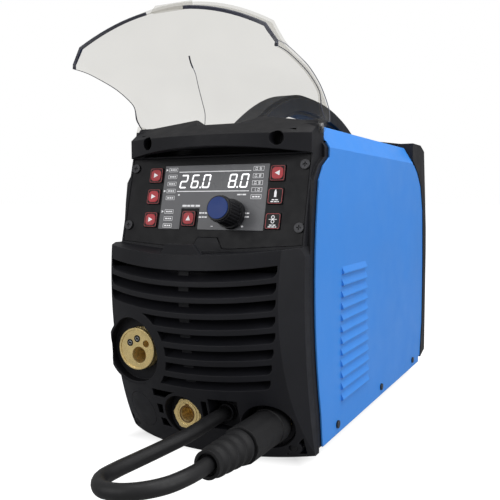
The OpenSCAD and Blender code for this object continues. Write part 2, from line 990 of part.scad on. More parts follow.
module plug_pin() {
  color(colour_brass)
    rod_y(right_socket_at, socket_bore - 0.2, plug_face - 20, right_socket_face + 16);
}

module plug_body() {
  color(colour_black)
    difference() {
      union() {
        rod_y(right_socket_at, plug_d, plug_face - 8, right_socket_face - 0.5);
        intersection() {
          rod_y(right_socket_at, plug_d - 1, boot_root, plug_face);
          along_y(boot_root, plug_face)
            translate(right_socket_at)
              circle(d = plug_d + 0.6, $fn = 8);
        }
      }
      rod_y(right_socket_at, socket_bore - 0.2, plug_face - 20, right_socket_face + 1);
    }
}

// The boot tapers in ribs and lifts slightly towards its mouth
module plug_boot() {
  ribs = 4;
  len_boot = boot_root - boot_mouth;
  tip = cable_d + 12;
  lift = route_end[2] - right_socket_at[1];
  tilt = atan(lift / len_boot);
  color(colour_black)
    difference() {
      translate([right_socket_at[0], boot_root, right_socket_at[1]])
        rotate([90 - tilt, 0, 0])
          rotate_extrude()
            polygon(concat([[0, 0]],
              [for (i = [0:ribs - 1]) for (k = [0:3])
                let (f = (i + k / 4 + 0.02) / ribs,
                  r = (boot_d + (tip - boot_d) * f) / 2)
                [r - (k == 0 || k == 3 ? 1.6 : 0), f * len_boot * 0.93]],
              [[tip / 2 - 1, len_boot], [0, len_boot]]));
      // flat root, open mouth, and the bore that holds the cable
      block([0, boot_root, 0], [120, boot_root + 20, 90]);
      rod_y([route_end[0], route_end[2]], cable_d + 5, boot_mouth - 5, route_end[1] - 2);
      rod_y([route_end[0], route_end[2]], cable_d, boot_mouth, route_end[1]);
    }
}

// ---------- Rear bezel ----------

// The bezel stands a little above the roof, and its sides almost reach the width of the covers
rear_top = roof_high + 6;
rear_w = half_w - gap;
rear_front_edge = concat(
  [[rear_y + 9, side_low + 4], [rear_y + 13, 40]],
  [for (z = [60:26.5:219]) [rear_edge(z) + 18, z]],
  [[rear_y - 1, 250], [rear_y - 21, 268], [rear_y - 45, 281], [rear_y - 51 + gap, 284],
  [rear_y - 51 + gap, rear_top]]);
rear_outer_edge = [[rear_y + rear_out + 1, side_low + 12], [rear_y + rear_out, 100],
  [rear_y + rear_out - 6, 194], [rear_y + rear_out - 18, 264], [rear_y + 13, 298],
  [rear_y - 8, rear_top]];

module rear_outline() {
  polygon(concat(rear_front_edge, flip(rear_outer_edge)));
}

// The bezel's inside is the same outline moved forward by one wall
module rear_hollow() {
  intersection() {
    along_x(2 * (rear_w - wall))
      polygon(concat([[rear_y - 60, side_low + 4 + wall], [rear_y - 60, roof_high]],
        shift_y(flip(rear_outer_edge), -wall),
        [[rear_y + 9, side_low + 4 + wall]]));
    along_y(0, far)
      polygon([[-half_w, 0], [half_w, 0], [half_w, fold_high - wall - gap],
        [half_w - bevel_in - wall, roof_high - sheet_t - gap - wall],
        [-half_w + bevel_in + wall, roof_high - sheet_t - gap - wall],
        [-half_w, fold_high - wall - gap]]);
  }
}

module rear_flange(w, inset) {
  outline = concat(shift_y(side_rear_edge, -8), flip(shift_y(side_rear_edge, 24)));
  intersection() {
    along_x(2 * w)
      polygon(outline);
    along_y(0, far)
      polygon([[-w, side_low + 6 + inset], [w, side_low + 6 + inset],
        [w, fold_high - inset],
        [w - bevel_in, roof_high - sheet_t - gap - inset],
        [-w + bevel_in, roof_high - sheet_t - gap - inset], [-w, fold_high - inset]]);
  }
}

module rear_bezel() {
  flange_w = half_w - 2 * sheet_t - 2 * gap;
  color(colour_black)
    difference() {
      union() {
        intersection() {
          along_x(2 * rear_w)
            rear_outline();
          rear_plan();
        }
        difference() {
          rear_flange(flange_w, 0);
          rear_flange(flange_w - wall, wall);
          // room for the door's swinging lower edge
          block([-half_w, 0, 0], [-inner_w + 6, rear_y + 4, hinge_z + 8]);
        }
        // ridge that carries the handle
        along_y(rear_y - 30, rear_y + 4)
          polygon([[-rear_w + 9, roof_high], [rear_w - 9, roof_high], [rear_w - 9, rear_top],
            [35, rear_ridge_high], [-35, rear_ridge_high], [-rear_w + 9, rear_top]]);
      }
      rear_hollow();
      fan_grille();
      rear_holes();
    }
  color(colour_black)
    difference() {
      intersection() {
        rear_bosses();
        along_x(body_w)
          rear_outline();
      }
      rear_holes();
    }
  color(colour_black)
    difference() {
      block([switch_at[0] - 14.5, rear_y + 26, switch_at[1] - 19],
        [switch_at[0] + 14.5, switch_face, switch_at[1] + 19]);
      rear_holes();
    }
}

// Posts behind the fan and a boss round the recessed gas inlet
module rear_bosses() {
  reach = fan_frame_w / 2 - 5;
  for (x = [-reach, reach])
    for (z = [-reach, reach])
      rod_y(fan_at + [x, z], 9, fan_front + fan_t, rear_y + rear_out);
  rod_y(inlet_at, 38, inlet_floor - 4, rear_y + rear_out);
}

module rear_holes() {
  block([switch_at[0] - 10.3, rear_y, switch_at[1] - 14.3],
    [switch_at[0] + 10.3, far, switch_at[1] + 14.3]);
  rod_y(inlet_at, 13, rear_y, far);
  rod_y(inlet_at, 32, inlet_floor, far);
  rod_y(mains_at, 20, rear_y, far);
  for (at = rear_screws_at)
    rod_y(at, 4.4, rear_y, far);
}

module rear_plan() {
  c = 4;
  back = rear_y + rear_out;
  linear_extrude(far)
    polygon([[-rear_w, 0], [rear_w, 0], [rear_w, back - c], [rear_w - c - 1, back + 1],
      [-rear_w + c + 1, back + 1], [-rear_w, back - c]]);
}

module fan_grille() {
  rings = 5;
  slot = 4.5;
  difference() {
    for (i = [1:rings])
      difference() {
        rod_y(fan_at, 2 * (i * 8 + slot), rear_y, far);
        rod_y(fan_at, 2 * i * 8, rear_y - 1, far + 1);
      }
    for (a = [45, 135])
      translate([fan_at[0], 0, fan_at[1]])
        rotate([0, a, 0])
          translate([-2, 0, -60])
            cube([4, far, 120]);
  }
}

// ---------- Blue covers ----------

module section_outline(inset) {
  w = half_w - inset;
  b = bevel_in;
  polygon([[-w, side_low - 1], [w, side_low - 1], [w, fold_high - inset * 0.3],
    [w - b, roof_high - inset], [-w + b, roof_high - inset], [-w, fold_high - inset * 0.3]]);
}

module side_outline() {
  polygon(concat(side_front_edge, flip(side_rear_edge)));
}

door_top = fold_high - 12;

// One pressed louvre on the right side: a sloping hood, open at its lower edge
module pressed_louvre(z, y0, y1) {
  hood = 2.5;
  rise = 7;
  translate([half_w, 0, z])
    difference() {
      along_y(y0, y1)
        polygon([[-sheet_t, rise], [0, rise], [hood, 1.5], [hood, 0], [-sheet_t, 0]]);
      along_y(y0 + 2, y1 - 2)
        polygon([[-sheet_t - 1, rise - 2], [-0.5, rise - 2], [hood - 1, 1], [hood - 1, -1],
          [-sheet_t - 1, -1]]);
    }
}

side_louvres = 12;
function side_louvre_z(i) = 162 - i * 11.1;
function side_louvre_y0(i) = -110 - 2.5 * sin(i * 180 / (side_louvres - 1));
function side_louvre_y1(i) = -37 + i;

module cover() {
  color(colour_blue)
    difference() {
      union() {
        difference() {
          intersection() {
            along_y(-far, far)
              section_outline(0);
            along_x(2 * far)
              side_outline();
          }
          along_y(-far, far)
            section_outline(sheet_t);
          // the left side stays open for the door
          block([-far, -far, 0], [-half_w + 5, far, door_top]);
          block([-half_w + 1, -far, 0], [half_w - 5, far, side_low + 5]);
          for (i = [0:side_louvres - 1])
            block([0, side_louvre_y0(i) + 2, side_louvre_z(i)],
              [half_w + 1, side_louvre_y1(i) - 2, side_louvre_z(i) + 5]);
        }
        for (i = [0:side_louvres - 1])
          pressed_louvre(side_louvre_z(i), side_louvre_y0(i), side_louvre_y1(i));
        rear_lip();
      }
      for (at = cover_screws_at)
        rod_x(at, cover_screw_d + 0.3, 0, far);
    }
}

// Inner lip along the right side's rear edge, set in by one sheet
module rear_lip() {
  lip = 18;
  intersection() {
    difference() {
      along_x(2 * (inner_w))
        polygon(concat(shift_y(side_rear_edge, -6), flip(shift_y(side_rear_edge, lip))));
      along_x(2 * (inner_w - sheet_t))
        polygon(concat(shift_y(side_rear_edge, -60), flip(shift_y(side_rear_edge, far))));
      along_x(body_w)
        rear_outline();
    }
    block([0, 0, side_low + 6], [far, far, fold_high - 2]);
  }
}

cover_screw_d = 4;
cover_screws_at = [[front_y + 58.5, 19.5], [26.8, 19.5], [rear_y - 40, 19.5]];

module cover_screws() {
  color(colour_steel)
    for (at = cover_screws_at) {
      rod_x(at, 7.5, half_w, half_w + 1.6);
      rod_x(at, cover_screw_d, half_w - 8, half_w);
    }
}

door_low = side_low + 12;
hinge_z = door_low + 2;
hinge_x = -half_w + 3;
hinge_d = 3;
knuckle_d = 6;
knuckle_w = 24;
lug_w = 6;
hinges_at = [-110, 150];
latch_at = [20, 245];
latch_d = 14;

module side_door() {
  notch = knuckle_w + 2 * lug_w + 4;
  color(colour_blue)
    difference() {
      union() {
        difference() {
          intersection() {
            block([-half_w, -far, door_low], [-inner_w, far, door_top - gap]);
            along_x(2 * far)
              side_outline();
          }
          for (y = hinges_at)
            block([-far, y - notch / 2, 0], [0, y + notch / 2, hinge_z + 7]);
        }
        for (y = hinges_at) {
          rod_y([hinge_x, hinge_z], knuckle_d, y - knuckle_w / 2, y + knuckle_w / 2);
          block([-half_w, y - knuckle_w / 2, hinge_z],
            [-inner_w, y + knuckle_w / 2, hinge_z + 8]);
        }
      }
      for (y = hinges_at)
        rod_y([hinge_x, hinge_z], hinge_d + 2 * running, y - notch, y + notch);
      rod_x(latch_at, latch_d + 2 * gap, -far, 0);
    }
}

// Quarter-turn latch: its cam lies level while it is undone
module door_latch() {
  color(colour_black)
    difference() {
      union() {
        rod_x(latch_at, latch_d + 6, -half_w - 2.5, -half_w - gap);
        rod_x(latch_at, latch_d, -half_w - 1, -inner_w + 5);
        block([-inner_w + 1, latch_at[0] - 6, latch_at[1] - 5],
          [-inner_w + 4, latch_at[0] + door_top + 8 - latch_at[1], latch_at[1] + 5]);
      }
      block([-half_w - 4, latch_at[0] - 8, latch_at[1] - 1.2],
        [-half_w - 1.5, latch_at[0] + 8, latch_at[1] + 1.2]);
    }
}

// ---------- Base ----------

module base_pan() {
  pan_low = side_low + 2;
  w = inner_w - gap;
  y0 = front_y + 35;
  y1 = rear_y - 18;
  color(colour_blue)
    difference() {
      union() {
        block([-cheek_w + wall, front_y + 17, pan_low], [cheek_w - wall, y0 + 1,
          pan_low + sheet_t]);
        block([-half_w + 0.5, y0, pan_low], [w, y1, pan_low + sheet_t]);
        block([-cheek_w + wall, y1 - 1, pan_low], [cheek_w - wall, rear_y + 6,
          pan_low + sheet_t]);
        // right flange that the cover is screwed to
        block([w - sheet_t, y0, pan_low], [w, y1, pan_low + 22]);
        // left sill under the door
        intersection() {
          block([-half_w, -far, side_low], [-inner_w, far, door_low - 2]);
          along_x(2 * far)
            side_outline();
        }
        for (y = hinges_at)
          hinge_lugs(y, pan_low);
      }
      for (at = cover_screws_at)
        rod_x(at, cover_screw_d + 0.1, 0, far);
      for (i = [0:9])
        block([20, -60 + i * 12, 0], [80, -54 + i * 12, pan_low + 5]);
    }
  color(colour_blue)
    for (y = hinges_at)
      rod_y([hinge_x, hinge_z], hinge_d, y - knuckle_w / 2 - lug_w,
        y + knuckle_w / 2 + lug_w);
}

module hinge_lugs(y, low) {
  for (side = [-1, 1])
    translate([0, y + side * (knuckle_w / 2 + 0.5 + lug_w / 2), 0])
      block([-half_w + 1, -lug_w / 2, low], [hinge_x + 4, lug_w / 2, hinge_z + 3]);
}

foot_d = 28;
foot_x = half_w - 28;
feet_at = [for (y = [front_y + 46, rear_y - 36]) for (x = [-foot_x, foot_x]) [x, y]];

module feet() {
  color(colour_black)
    for (f = feet_at)
      translate([f[0], f[1], 0])
        difference() {
          cylinder(d1 = foot_d - 4, d2 = foot_d, h = side_low + 2);
          translate([0, 0, -1])
            cylinder(d = 9, h = 5);
        }
}

module divider() {
  low = side_low + 2 + sheet_t;
  color(colour_steel)
    difference() {
      union() {
        block([divider_x, front_y + 22, low], [divider_x + sheet_t, rear_y - 16,
          fold_high - 11]);
        block([divider_x, front_y + 22, low], [divider_x + 14, rear_y - 16, low + sheet_t]);
      }
      rod_x([roll_y, roll_z], 26, -far, far);
      block([-far, -30, 225], [far, 40, 255]);
      rod_x([roll_y + 70, 55], 18, -far, far);
    }
}

// ---------- Visor ----------

// Right half of a row of the closed visor's outer surface, from the side strip's rear edge over
// its front edge and the corner to the middle
crown_x = half_w - 43.5;
arc_steps = 6;
function visor_row(strip_rear, strip_front, corner, middle) = concat(
  [[visor_half, strip_rear[0], strip_rear[1]], [visor_half, strip_front[0], strip_front[1]],
  corner],
  [for (i = [1:arc_steps]) let (t = 1 - i / arc_steps)
    [corner[0] * t, middle[0] + (corner[1] - middle[0]) * t * t,
      middle[1] + (corner[2] - middle[1]) * t * t]]);
visor_rows = [
  visor_row([-202.8, 198.5], [-206.8, 198.7], [half_w - 11, -219.9, 196.2], [-243.2, 198.4]),
  visor_row([-202.2, 220.7], [-207.4, 217.7], [half_w - 16.3, -228.4, 223.7], [-251.4, 223.2]),
  visor_row([-195.4, 258.7], [-201.4, 259.7], [crown_x, -208.2, 259.7], [-208.2, 259.7]),
  visor_row([-184.4, 285.7], [-189.9, 289.7], [crown_x, -205, 292.7], [-208.6, 292.7]),
  visor_row([-171, 291], [-173, 311.5], [crown_x, -179, 315.5], [-182, 316.8]),
  visor_row([-162, 301], [-161.5, 313.5], [crown_x, -161.5, 316.2], [-161.5, 316.5])];
function full_row(half) = concat(half,
  [for (i = [len(half) - 2:-1:0]) [-half[i][0], half[i][1], half[i][2]]]);
outer_rows = [for (r = visor_rows) full_row(r)];

// Unit normal of the surface at a grid point, pointing outwards
function at_grid(g, i, k) = g[max(0, min(len(g) - 1, i))][max(0, min(len(g[0]) - 1, k))];
function grid_normal(g, i, k) =
  unit(cross(at_grid(g, i + 1, k) - at_grid(g, i - 1, k),
    at_grid(g, i, k + 1) - at_grid(g, i, k - 1)));
inner_rows = [for (i = [0:len(outer_rows) - 1]) [for (k = [0:len(outer_rows[0]) - 1])
  outer_rows[i][k] - visor_t * grid_normal(outer_rows, i, k)]];

module visor_shell() {
  rows = len(outer_rows);
  cols = len(outer_rows[0]);
  count = rows * cols;
  points = concat([for (r = outer_rows) each r], [for (r = inner_rows) each r]);
  quad = function (a, b, c, d) [[a, b, c], [a, c, d]];
  outer = [for (i = [0:rows - 2]) for (k = [0:cols - 2])
    each quad(i * cols + k, i * cols + k + 1, (i + 1) * cols + k + 1, (i + 1) * cols + k)];
  inner = [for (f = outer) [f[2] + count, f[1] + count, f[0] + count]];
  low = [for (k = [0:cols - 2]) each quad(k + 1, k, count + k, count + k + 1)];
  top0 = (rows - 1) * cols;
  top = [for (k = [0:cols - 2])
    each quad(top0 + k, top0 + k + 1, count + top0 + k + 1, count + top0 + k)];
  left = [for (i = [0:rows - 2])
    each quad(i * cols, (i + 1) * cols, count + (i + 1) * cols, count + i * cols)];
  right = [for (i = [0:rows - 2]) each quad((i + 2) * cols - 1, (i + 1) * cols - 1,
    count + (i + 1) * cols - 1, count + (i + 2) * cols - 1)];
  polyhedron(points, concat(outer, inner, low, top, left, right), convexity = 10);
}

module visor() {
  ear_in = cheek_w + 0.6;
  color(colour_clear)
    translate([0, pivot_y, pivot_z])
      rotate([-visor_open, 0, 0])
        translate([0, -pivot_y, -pivot_z]) {
          visor_shell();
          along_x(34)
            polygon([[-241, 199], [-249, 206], [-250, 209.5], [-247, 209.5],
              [-242, 205]]);
          both_sides()
            difference() {
              union() {
                rod_x([pivot_y, pivot_z], 2 * ear_r, ear_in, visor_half - 0.3);
                translate([ear_in, 0, 0])
                  rotate([90, 0, 90])
                    linear_extrude(visor_half - 0.3 - ear_in)
                      polygon([[pivot_y - 15, pivot_z - 6],
                        [pivot_y - 2, pivot_z - 6],
                        [pivot_y + 2, pivot_z + 5.5],
                        [pivot_y - 5.2, pivot_z + 14],
                        [pivot_y - 14, pivot_z + 12]]);
              }
              rod_x([pivot_y, pivot_z], pivot_d + 2 * running, 0, far);
            }
        }
}

module visor_pins() {
  color(colour_steel)
    both_sides()
      rod_x([pivot_y, pivot_z], pivot_d, cheek_w - 8, visor_half - 0.4);
}

// ---------- Handle ----------

// Centre line of the arch as [y, z]
arch_front = front_y + 44;
arch_rear = rear_y + 5;
handle_high = 351;
arch_rise = 53;
arch_top = 8;
function arch_z(y) = handle_high - handle_t / 2
  - arch_rise * (y < arch_top ? pow((arch_top - y) / (arch_top - arch_front), 1.75) :
    pow((y - arch_top) / (arch_rear - arch_top), 2.7));
function arch_points(y0, y1, n) = [for (i = [0:n]) let (y = y0 + (y1 - y0) * i / n) [y, arch_z(y)]];
function offset_line(p, d) = [for (i = [0:len(p) - 1])
  let (a = p[max(0, i - 1)], b = p[min(len(p) - 1, i + 1)], t = unit(b - a))
  p[i] + d * [-t[1], t[0]]];
function band(p, t) = concat(offset_line(p, t / 2), flip(offset_line(p, -t / 2)));

module arch_bar(p, w, t, c) {
  along_x(w - 2 * c)
    polygon(band(p, t));
  along_x(w)
    polygon(band(p, t - 2 * c));
}

module handle() {
  line = arch_points(arch_front, arch_rear, 28);
  color(colour_black)
    difference() {
      union() {
        difference() {
          arch_bar(line, handle_w, handle_t, 4);
          // waist under the grip sleeve
          difference() {
            grip_zone();
            grip_core();
          }
        }
        block([-handle_w / 2, arch_front - 1, roof_high],
          [handle_w / 2, arch_front + 12, roof_high + 5]);
      }
      block([-far, -far, 0], [far, far, roof_high]);
      along_x(2 * far)
        polygon([[rear_y - 51, 0], [rear_y + far, 0], [rear_y + far, rear_ridge_high],
          [rear_y - 30, rear_ridge_high], [rear_y - 30, rear_top], [rear_y - 51, rear_top]]);
      arch_notch(grip_y[0] - 2.5);
    }
}

// A small V across the top of the arch, shallower than the grip's wall
module arch_notch(y) {
  p = arch_points(y, y + 1, 1);
  along = (p[1] - p[0]) / norm(p[1] - p[0]);
  out = [-along[1], along[0]];
  top = p[0] + out * handle_t / 2;
  along_x(2 * handle_w)
    polygon([top - 0.8 * grip_t * out, top + 2 * (out + along), top + 2 * (out - along)]);
}

grip_y = [-42, 135];

// Stretch of the arch that the grip covers, and the bar inside it
module grip_zone() {
  along_x(2 * handle_w)
    polygon(band(arch_points(grip_y[0], grip_y[1], 24), 3 * handle_t));
}

module grip_core() {
  arch_bar(arch_points(grip_y[0] - 9, grip_y[1] + 9, 24), handle_w - 2 * grip_t,
    handle_t - 2 * grip_t, 4);
}

module handle_grip() {
  color(colour_black)
    difference() {
      intersection() {
        arch_bar(arch_points(grip_y[0] - 5, grip_y[1] + 5, 24), handle_w, handle_t, 4);
        grip_zone();
      }
      grip_core();
      arch_notch(grip_y[0] + 12);
    }
}

// ---------- Screws ----------

module recessed_screw(at, head_d, y) {
  rod_y(at, head_d, y - 4, y);
  rod_y(at, screw_d, y - 0.5, y + 9);
}

module bezel_screws() {
  color(colour_steel) {
    for (at = low_screws_at)
      recessed_screw(at, 6.4, low_screw_y);
    for (at = brow_screws_at)
      recessed_screw(at, 8, brow_screw_y);
  }
}

// ---------- Wire feed ----------

module spool_axle() {
  color(colour_black)
    difference() {
      union() {
        rod_x(spool_at, 66, divider_x - 5, divider_x);
        rod_x(spool_at, axle_d, spool_x - 6, divider_x);
      }
      rod_x(spool_at, 12, spool_x - 7, spool_x + 30);
    }
}

module wire_spool() {
  flange_t = 3;
  color([0.2, 0.2, 0.22])
    difference() {
      union() {
        rod_x(spool_at, spool_d, spool_x, spool_x + flange_t);
        rod_x(spool_at, spool_d, spool_x + spool_w - flange_t, spool_x + spool_w);
        rod_x(spool_at, axle_d + 10, spool_x, spool_x + spool_w);
      }
      rod_x(spool_at, axle_d + 2 * running, spool_x - 1, spool_x + spool_w + 1);
      for (a = [0:60:300])
        translate([spool_x - 1, spool_at[0], spool_at[1]])
          rotate([a, 0, 0])
            translate([0, spool_d * 0.34, 0])
              rotate([0, 90, 0])
                cylinder(d = 24, h = 4.5);
    }
}

module wire_winding() {
  flange_t = 3;
  color(colour_steel)
    difference() {
      rod_x(spool_at, winding_d, spool_x + flange_t, spool_x + spool_w - flange_t);
      rod_x(spool_at, axle_d + 10, spool_x, spool_x + spool_w);
    }
}

module spool_nut() {
  color(colour_black) {
    rod_x(spool_at, axle_d + 8, spool_x - 9, spool_x - 6);
    rod_x(spool_at, 12 - 2 * running, spool_x - 6, spool_x + 24);
  }
}

module feeder_frame() {
  y0 = -152;
  y1 = -38;
  color([0.25, 0.25, 0.28])
    difference() {
      union() {
        block([frame_x, y0, 48], [divider_x, y1, line_z + 3]);
        // guides in line with the wire
        rod_y([line_x, line_z], 9, y0, roll_y - roll_d / 2 - 2);
        block([line_x - 3, y0, 60], [frame_x + 1, y0 + 12, line_z]);
        rod_y([line_x, line_z], 9, roll_y + roll_d / 2 + 4, y1 - 16);
        block([line_x - 3, y1 - 30, 60], [frame_x + 1, y1 - 18, line_z]);
        rod_x([arm_pivot_y, arm_pivot_z], 8, line_x - 13, divider_x - 6);
        block([line_x + 13, arm_pivot_y - 9, line_z], [divider_x - 6, arm_pivot_y + 9,
          arm_pivot_z + 6]);
      }
      rod_x([roll_y, roll_z], roll_shaft_d + 2 * running, -far, far);
      rod_y([line_x, line_z], 3, -far, far);
    }
}

module feeder_motor() {
  face = divider_x + sheet_t;
  color(colour_steel)
    difference() {
      union() {
        rod_x([roll_y, roll_z], 54, face, face + 26);
        rod_x([roll_y, roll_z], 42, face + 26, face + 88);
      }
      rod_x([roll_y, roll_z], roll_shaft_d + 2 * running, face - 1, face + 20);
    }
}

module drive_roll() {
  color(colour_steel)
    difference() {
      union() {
        rod_x([roll_y, roll_z], roll_d, line_x - roll_w / 2, line_x + roll_w / 2);
        rod_x([roll_y, roll_z], roll_shaft_d, line_x - 11, divider_x + 16);
      }
      // groove for the wire
      translate([line_x, roll_y, roll_z])
        rotate([0, 90, 0])
          rotate_extrude()
            translate([roll_d / 2 + 0.35, 0])
              circle(r = 1, $fn = 24);
    }
}

module pressure_arm() {
  x0 = line_x - 12;
  x1 = line_x + 12;
  color(colour_black)
    difference() {
      union() {
        block([x0, arm_pivot_y - 8, arm_pivot_z - 8], [x0 + 5, lever_y + 4,
          arm_pivot_z + 8]);
        block([x1 - 5, arm_pivot_y - 8, arm_pivot_z - 8], [x1, lever_y + 4,
          arm_pivot_z + 8]);
        block([x0, arm_pivot_y + 8, arm_pivot_z + 1], [x1, lever_y + 8,
          arm_pivot_z + 8]);
        // cheeks that hold the pressure roll
        block([x0, roll_y - 6, press_z - 6], [x0 + 4, roll_y + 6, arm_pivot_z]);
        block([x1 - 4, roll_y - 6, press_z - 6], [x1, roll_y + 6, arm_pivot_z]);
        rod_x([roll_y, press_z], 6, x0, x1);
      }
      rod_x([arm_pivot_y, arm_pivot_z], 8 + 2 * running, x0 - 1, x1 + 1);
      translate([line_x, lever_y, 0])
        cylinder(d = 6 + 2 * running, h = far);
    }
}

module pressure_roll() {
  color(colour_steel)
    difference() {
      rod_x([roll_y, press_z], press_d, line_x - 5, line_x + 5);
      rod_x([roll_y, press_z], 6 + 2 * running, line_x - 6, line_x + 6);
    }
}

// Knob and screw that set the roll's pressure, carried by the free end of the arm
module tension_knob() {
  color(colour_red)
    translate([line_x, lever_y, 0])
      union() {
        translate([0, 0, arm_pivot_z - 14])
          cylinder(d = 6, h = 26);
        translate([0, 0, arm_pivot_z + 8 + gap])
          cylinder(d = 20, h = 24);
      }
}

// ---------- Electronics ----------

bay_x0 = divider_x + 24;
bay_x1 = inner_w - 8.5;

module power_board() {
  low = side_low + 10;
  color(colour_green) {
    block([bay_x0, 25, low], [bay_x1, 165, low + 2]);
    for (x = [bay_x0 + 18, bay_x0 + 50, bay_x1 - 10])
      translate([x, 145, low + 2])
        cylinder(d = 28, h = 46);
    block([bay_x0 + 8, 40, low + 2], [bay_x1 - 6, 110, low + 24]);
    for (x = [bay_x0 + 6, bay_x1 - 6])
      for (y = [31, 159])
        translate([x, y, side_low + 2 + sheet_t])
          cylinder(d = 6, h = low - side_low - 2);
  }
}

module heat_sink() {
  fins = 12;
  x0 = bay_x0 + 2;
  x1 = bay_x1;
  low = 102;
  color([0.75, 0.76, 0.78]) {
    block([x0, 10, low], [x1, 180, low + 8]);
    for (i = [0:fins - 1])
      translate([x0 + i * (x1 - x0 - 2) / (fins - 1), 10, low + 8])
        cube([2, 170, 50]);
    for (f = [[x0, 17], [x1 - 6, 17], [x0, 168], [x1 - 6, 168]])
      block([f[0], f[1], side_low + 2 + sheet_t], [f[0] + 6, f[1] + 6, low]);
  }
}

module transformer() {
  low = side_low + 2 + sheet_t;
  color([0.45, 0.25, 0.12]) {
    translate([(bay_x0 + bay_x1) / 2, -22, low])
      difference() {
        cylinder(d = 72, h = 46);
        translate([0, 0, -1])
          cylinder(d = 20, h = 60);
      }
  }
}

// ---------- Rear fittings ----------

module fan_frame() {
  w = fan_frame_w / 2;
  color(colour_black)
    difference() {
      block([fan_at[0] - w, fan_front, fan_at[1] - w],
        [fan_at[0] + w, fan_front + fan_t, fan_at[1] + w]);
      rod_y(fan_at, fan_d + 3, fan_front + 3, fan_front + fan_t + 1);
      difference() {
        rod_y(fan_at, fan_d + 3, fan_front - 1, fan_front + 4);
        for (a = [0, 60, 120])
          translate([fan_at[0], fan_front - 1, fan_at[1]])
            rotate([0, a, 0])
              translate([-3, 0, -60])
                cube([6, 5, 120]);
        rod_y(fan_at, 34, fan_front - 1, fan_front + 4);
      }
      rod_y(fan_at, 4 + 2 * running, fan_front + 1, fan_front + 10);
    }
}

module fan_rotor() {
  blades = 7;
  color(colour_black) {
    rod_y(fan_at, 34, fan_front + 4.5, fan_front + 22);
    rod_y(fan_at, 4, fan_front + 1.5, fan_front + 5);
    for (i = [0:blades - 1])
      translate([fan_at[0], fan_front + 13, fan_at[1]])
        rotate([0, i * 360 / blades, 0])
          rotate([0, 0, 35])
            translate([-1, -8, 15])
              cube([2, 16, fan_d / 2 - 16]);
  }
}

module gas_valve() {
  color(colour_steel) {
    block([inlet_at[0] - 12, rear_y - 32, inlet_at[1] - 12],
      [inlet_at[0] + 12, rear_y - 6, inlet_at[1] + 12]);
    block([inlet_at[0] - 10, rear_y - 30, inlet_at[1] - 30],
      [inlet_at[0] + 10, rear_y - 8, inlet_at[1] - 12]);
  }
}

module gas_inlet() {
  tip = reach_y;
  nut_y = inlet_floor;
  color(colour_brass)
    difference() {
      union() {
        rod_y(inlet_at, 12.4, rear_y - 6, nut_y + 1);
        along_y(nut_y, nut_y + 5)
          translate(inlet_at)
            circle(d = 19, $fn = 6);
        rod_y(inlet_at, tail_d, nut_y + 4, tip);
      }
      rod_y(inlet_at, 4, rear_y - 7, tip + 1);
    }
}

rocker_pin_d = 3;

module power_switch() {
  y1 = switch_face - 0.6;
  color(colour_black)
    difference() {
      union() {
        block([switch_at[0] - 10, y1 - 26, switch_at[1] - 14],
          [switch_at[0] + 10, y1 + 1, switch_at[1] + 14]);
        block([switch_at[0] - 12.5, switch_face, switch_at[1] - 17],
          [switch_at[0] + 12.5, y1 + 3, switch_at[1] + 17]);
      }
      block([switch_at[0] - 8, y1 - 16, switch_at[1] - 12.4],
        [switch_at[0] + 8, y1 + 5, switch_at[1] + 12.4]);
      rod_x([y1 - 2, switch_at[1]], rocker_pin_d + 2 * running, switch_at[0] - 9.2,
        switch_at[0] + 9.2);
    }
}

module switch_rocker() {
  y1 = switch_face - 0.6;
  color([0.1, 0.1, 0.11]) {
    rod_x([y1 - 2, switch_at[1]], rocker_pin_d, switch_at[0] - 9, switch_at[0] + 9);
    along_x_at(switch_at[0], 15)
      polygon([[y1 - 8, switch_at[1] - 5], [y1 + 2, switch_at[1] - 11.2],
        [y1 + 2.4, switch_at[1]], [y1 + 5, switch_at[1] + 10],
        [y1 - 8, switch_at[1] + 5]]);
  }
}

module along_x_at(x, w) {
  translate([x, 0, 0])
    along_x(w)
      children();
}

module mains_gland() {
  y1 = reach_y - 4.4;
  color(colour_black)
    difference() {
      union() {
        rod_y(mains_at, 19.2, rear_y + 12, y1 + 1);
        along_y(y1 + 0.2, reach_y)
          translate(mains_at)
            circle(d = 27, $fn = 6);
        along_y(rear_y + 28, rear_y + 33)
          translate(mains_at)
            circle(d = 27, $fn = 6);
      }
      rod_y(mains_at, 11, rear_y, reach_y + 1);
    }
}

base_pan();
feet();
divider();
front_bezel();
rear_bezel();
cover();
side_door();
door_latch();
visor();
visor_pins();
handle();
handle_grip();
panel_plate();
panel_screws();
display_window();
control_board();
encoder();
encoder_shaft();
knob();
knob_cap();
mode_button();
trigger_button();
process_button();
setup_button();
wire_button();
gas_test_button();
wire_inch_button();
euro_flange();
euro_body();
euro_contacts();
blank_cap();
output_sockets();
socket_sleeves();
cable_gland();
polarity_cable();
plug_pin();
plug_body();
plug_boot();
bezel_screws();
cover_screws();
spool_axle();
wire_spool();
wire_winding();
spool_nut();
feeder_frame();
feeder_motor();
drive_roll();
pressure_arm();
pressure_roll();
tension_knob();
power_board();
heat_sink();
transformer();
fan_frame();
fan_rotor();
gas_valve();
gas_inlet();
power_switch();
switch_rocker();
mains_gland();
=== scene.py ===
"""Looks of the MIG welding machine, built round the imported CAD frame. Metres, +Z up, front at -Y."""

import json
import math

import bmesh
import bpy
from mathutils import Matrix, Vector


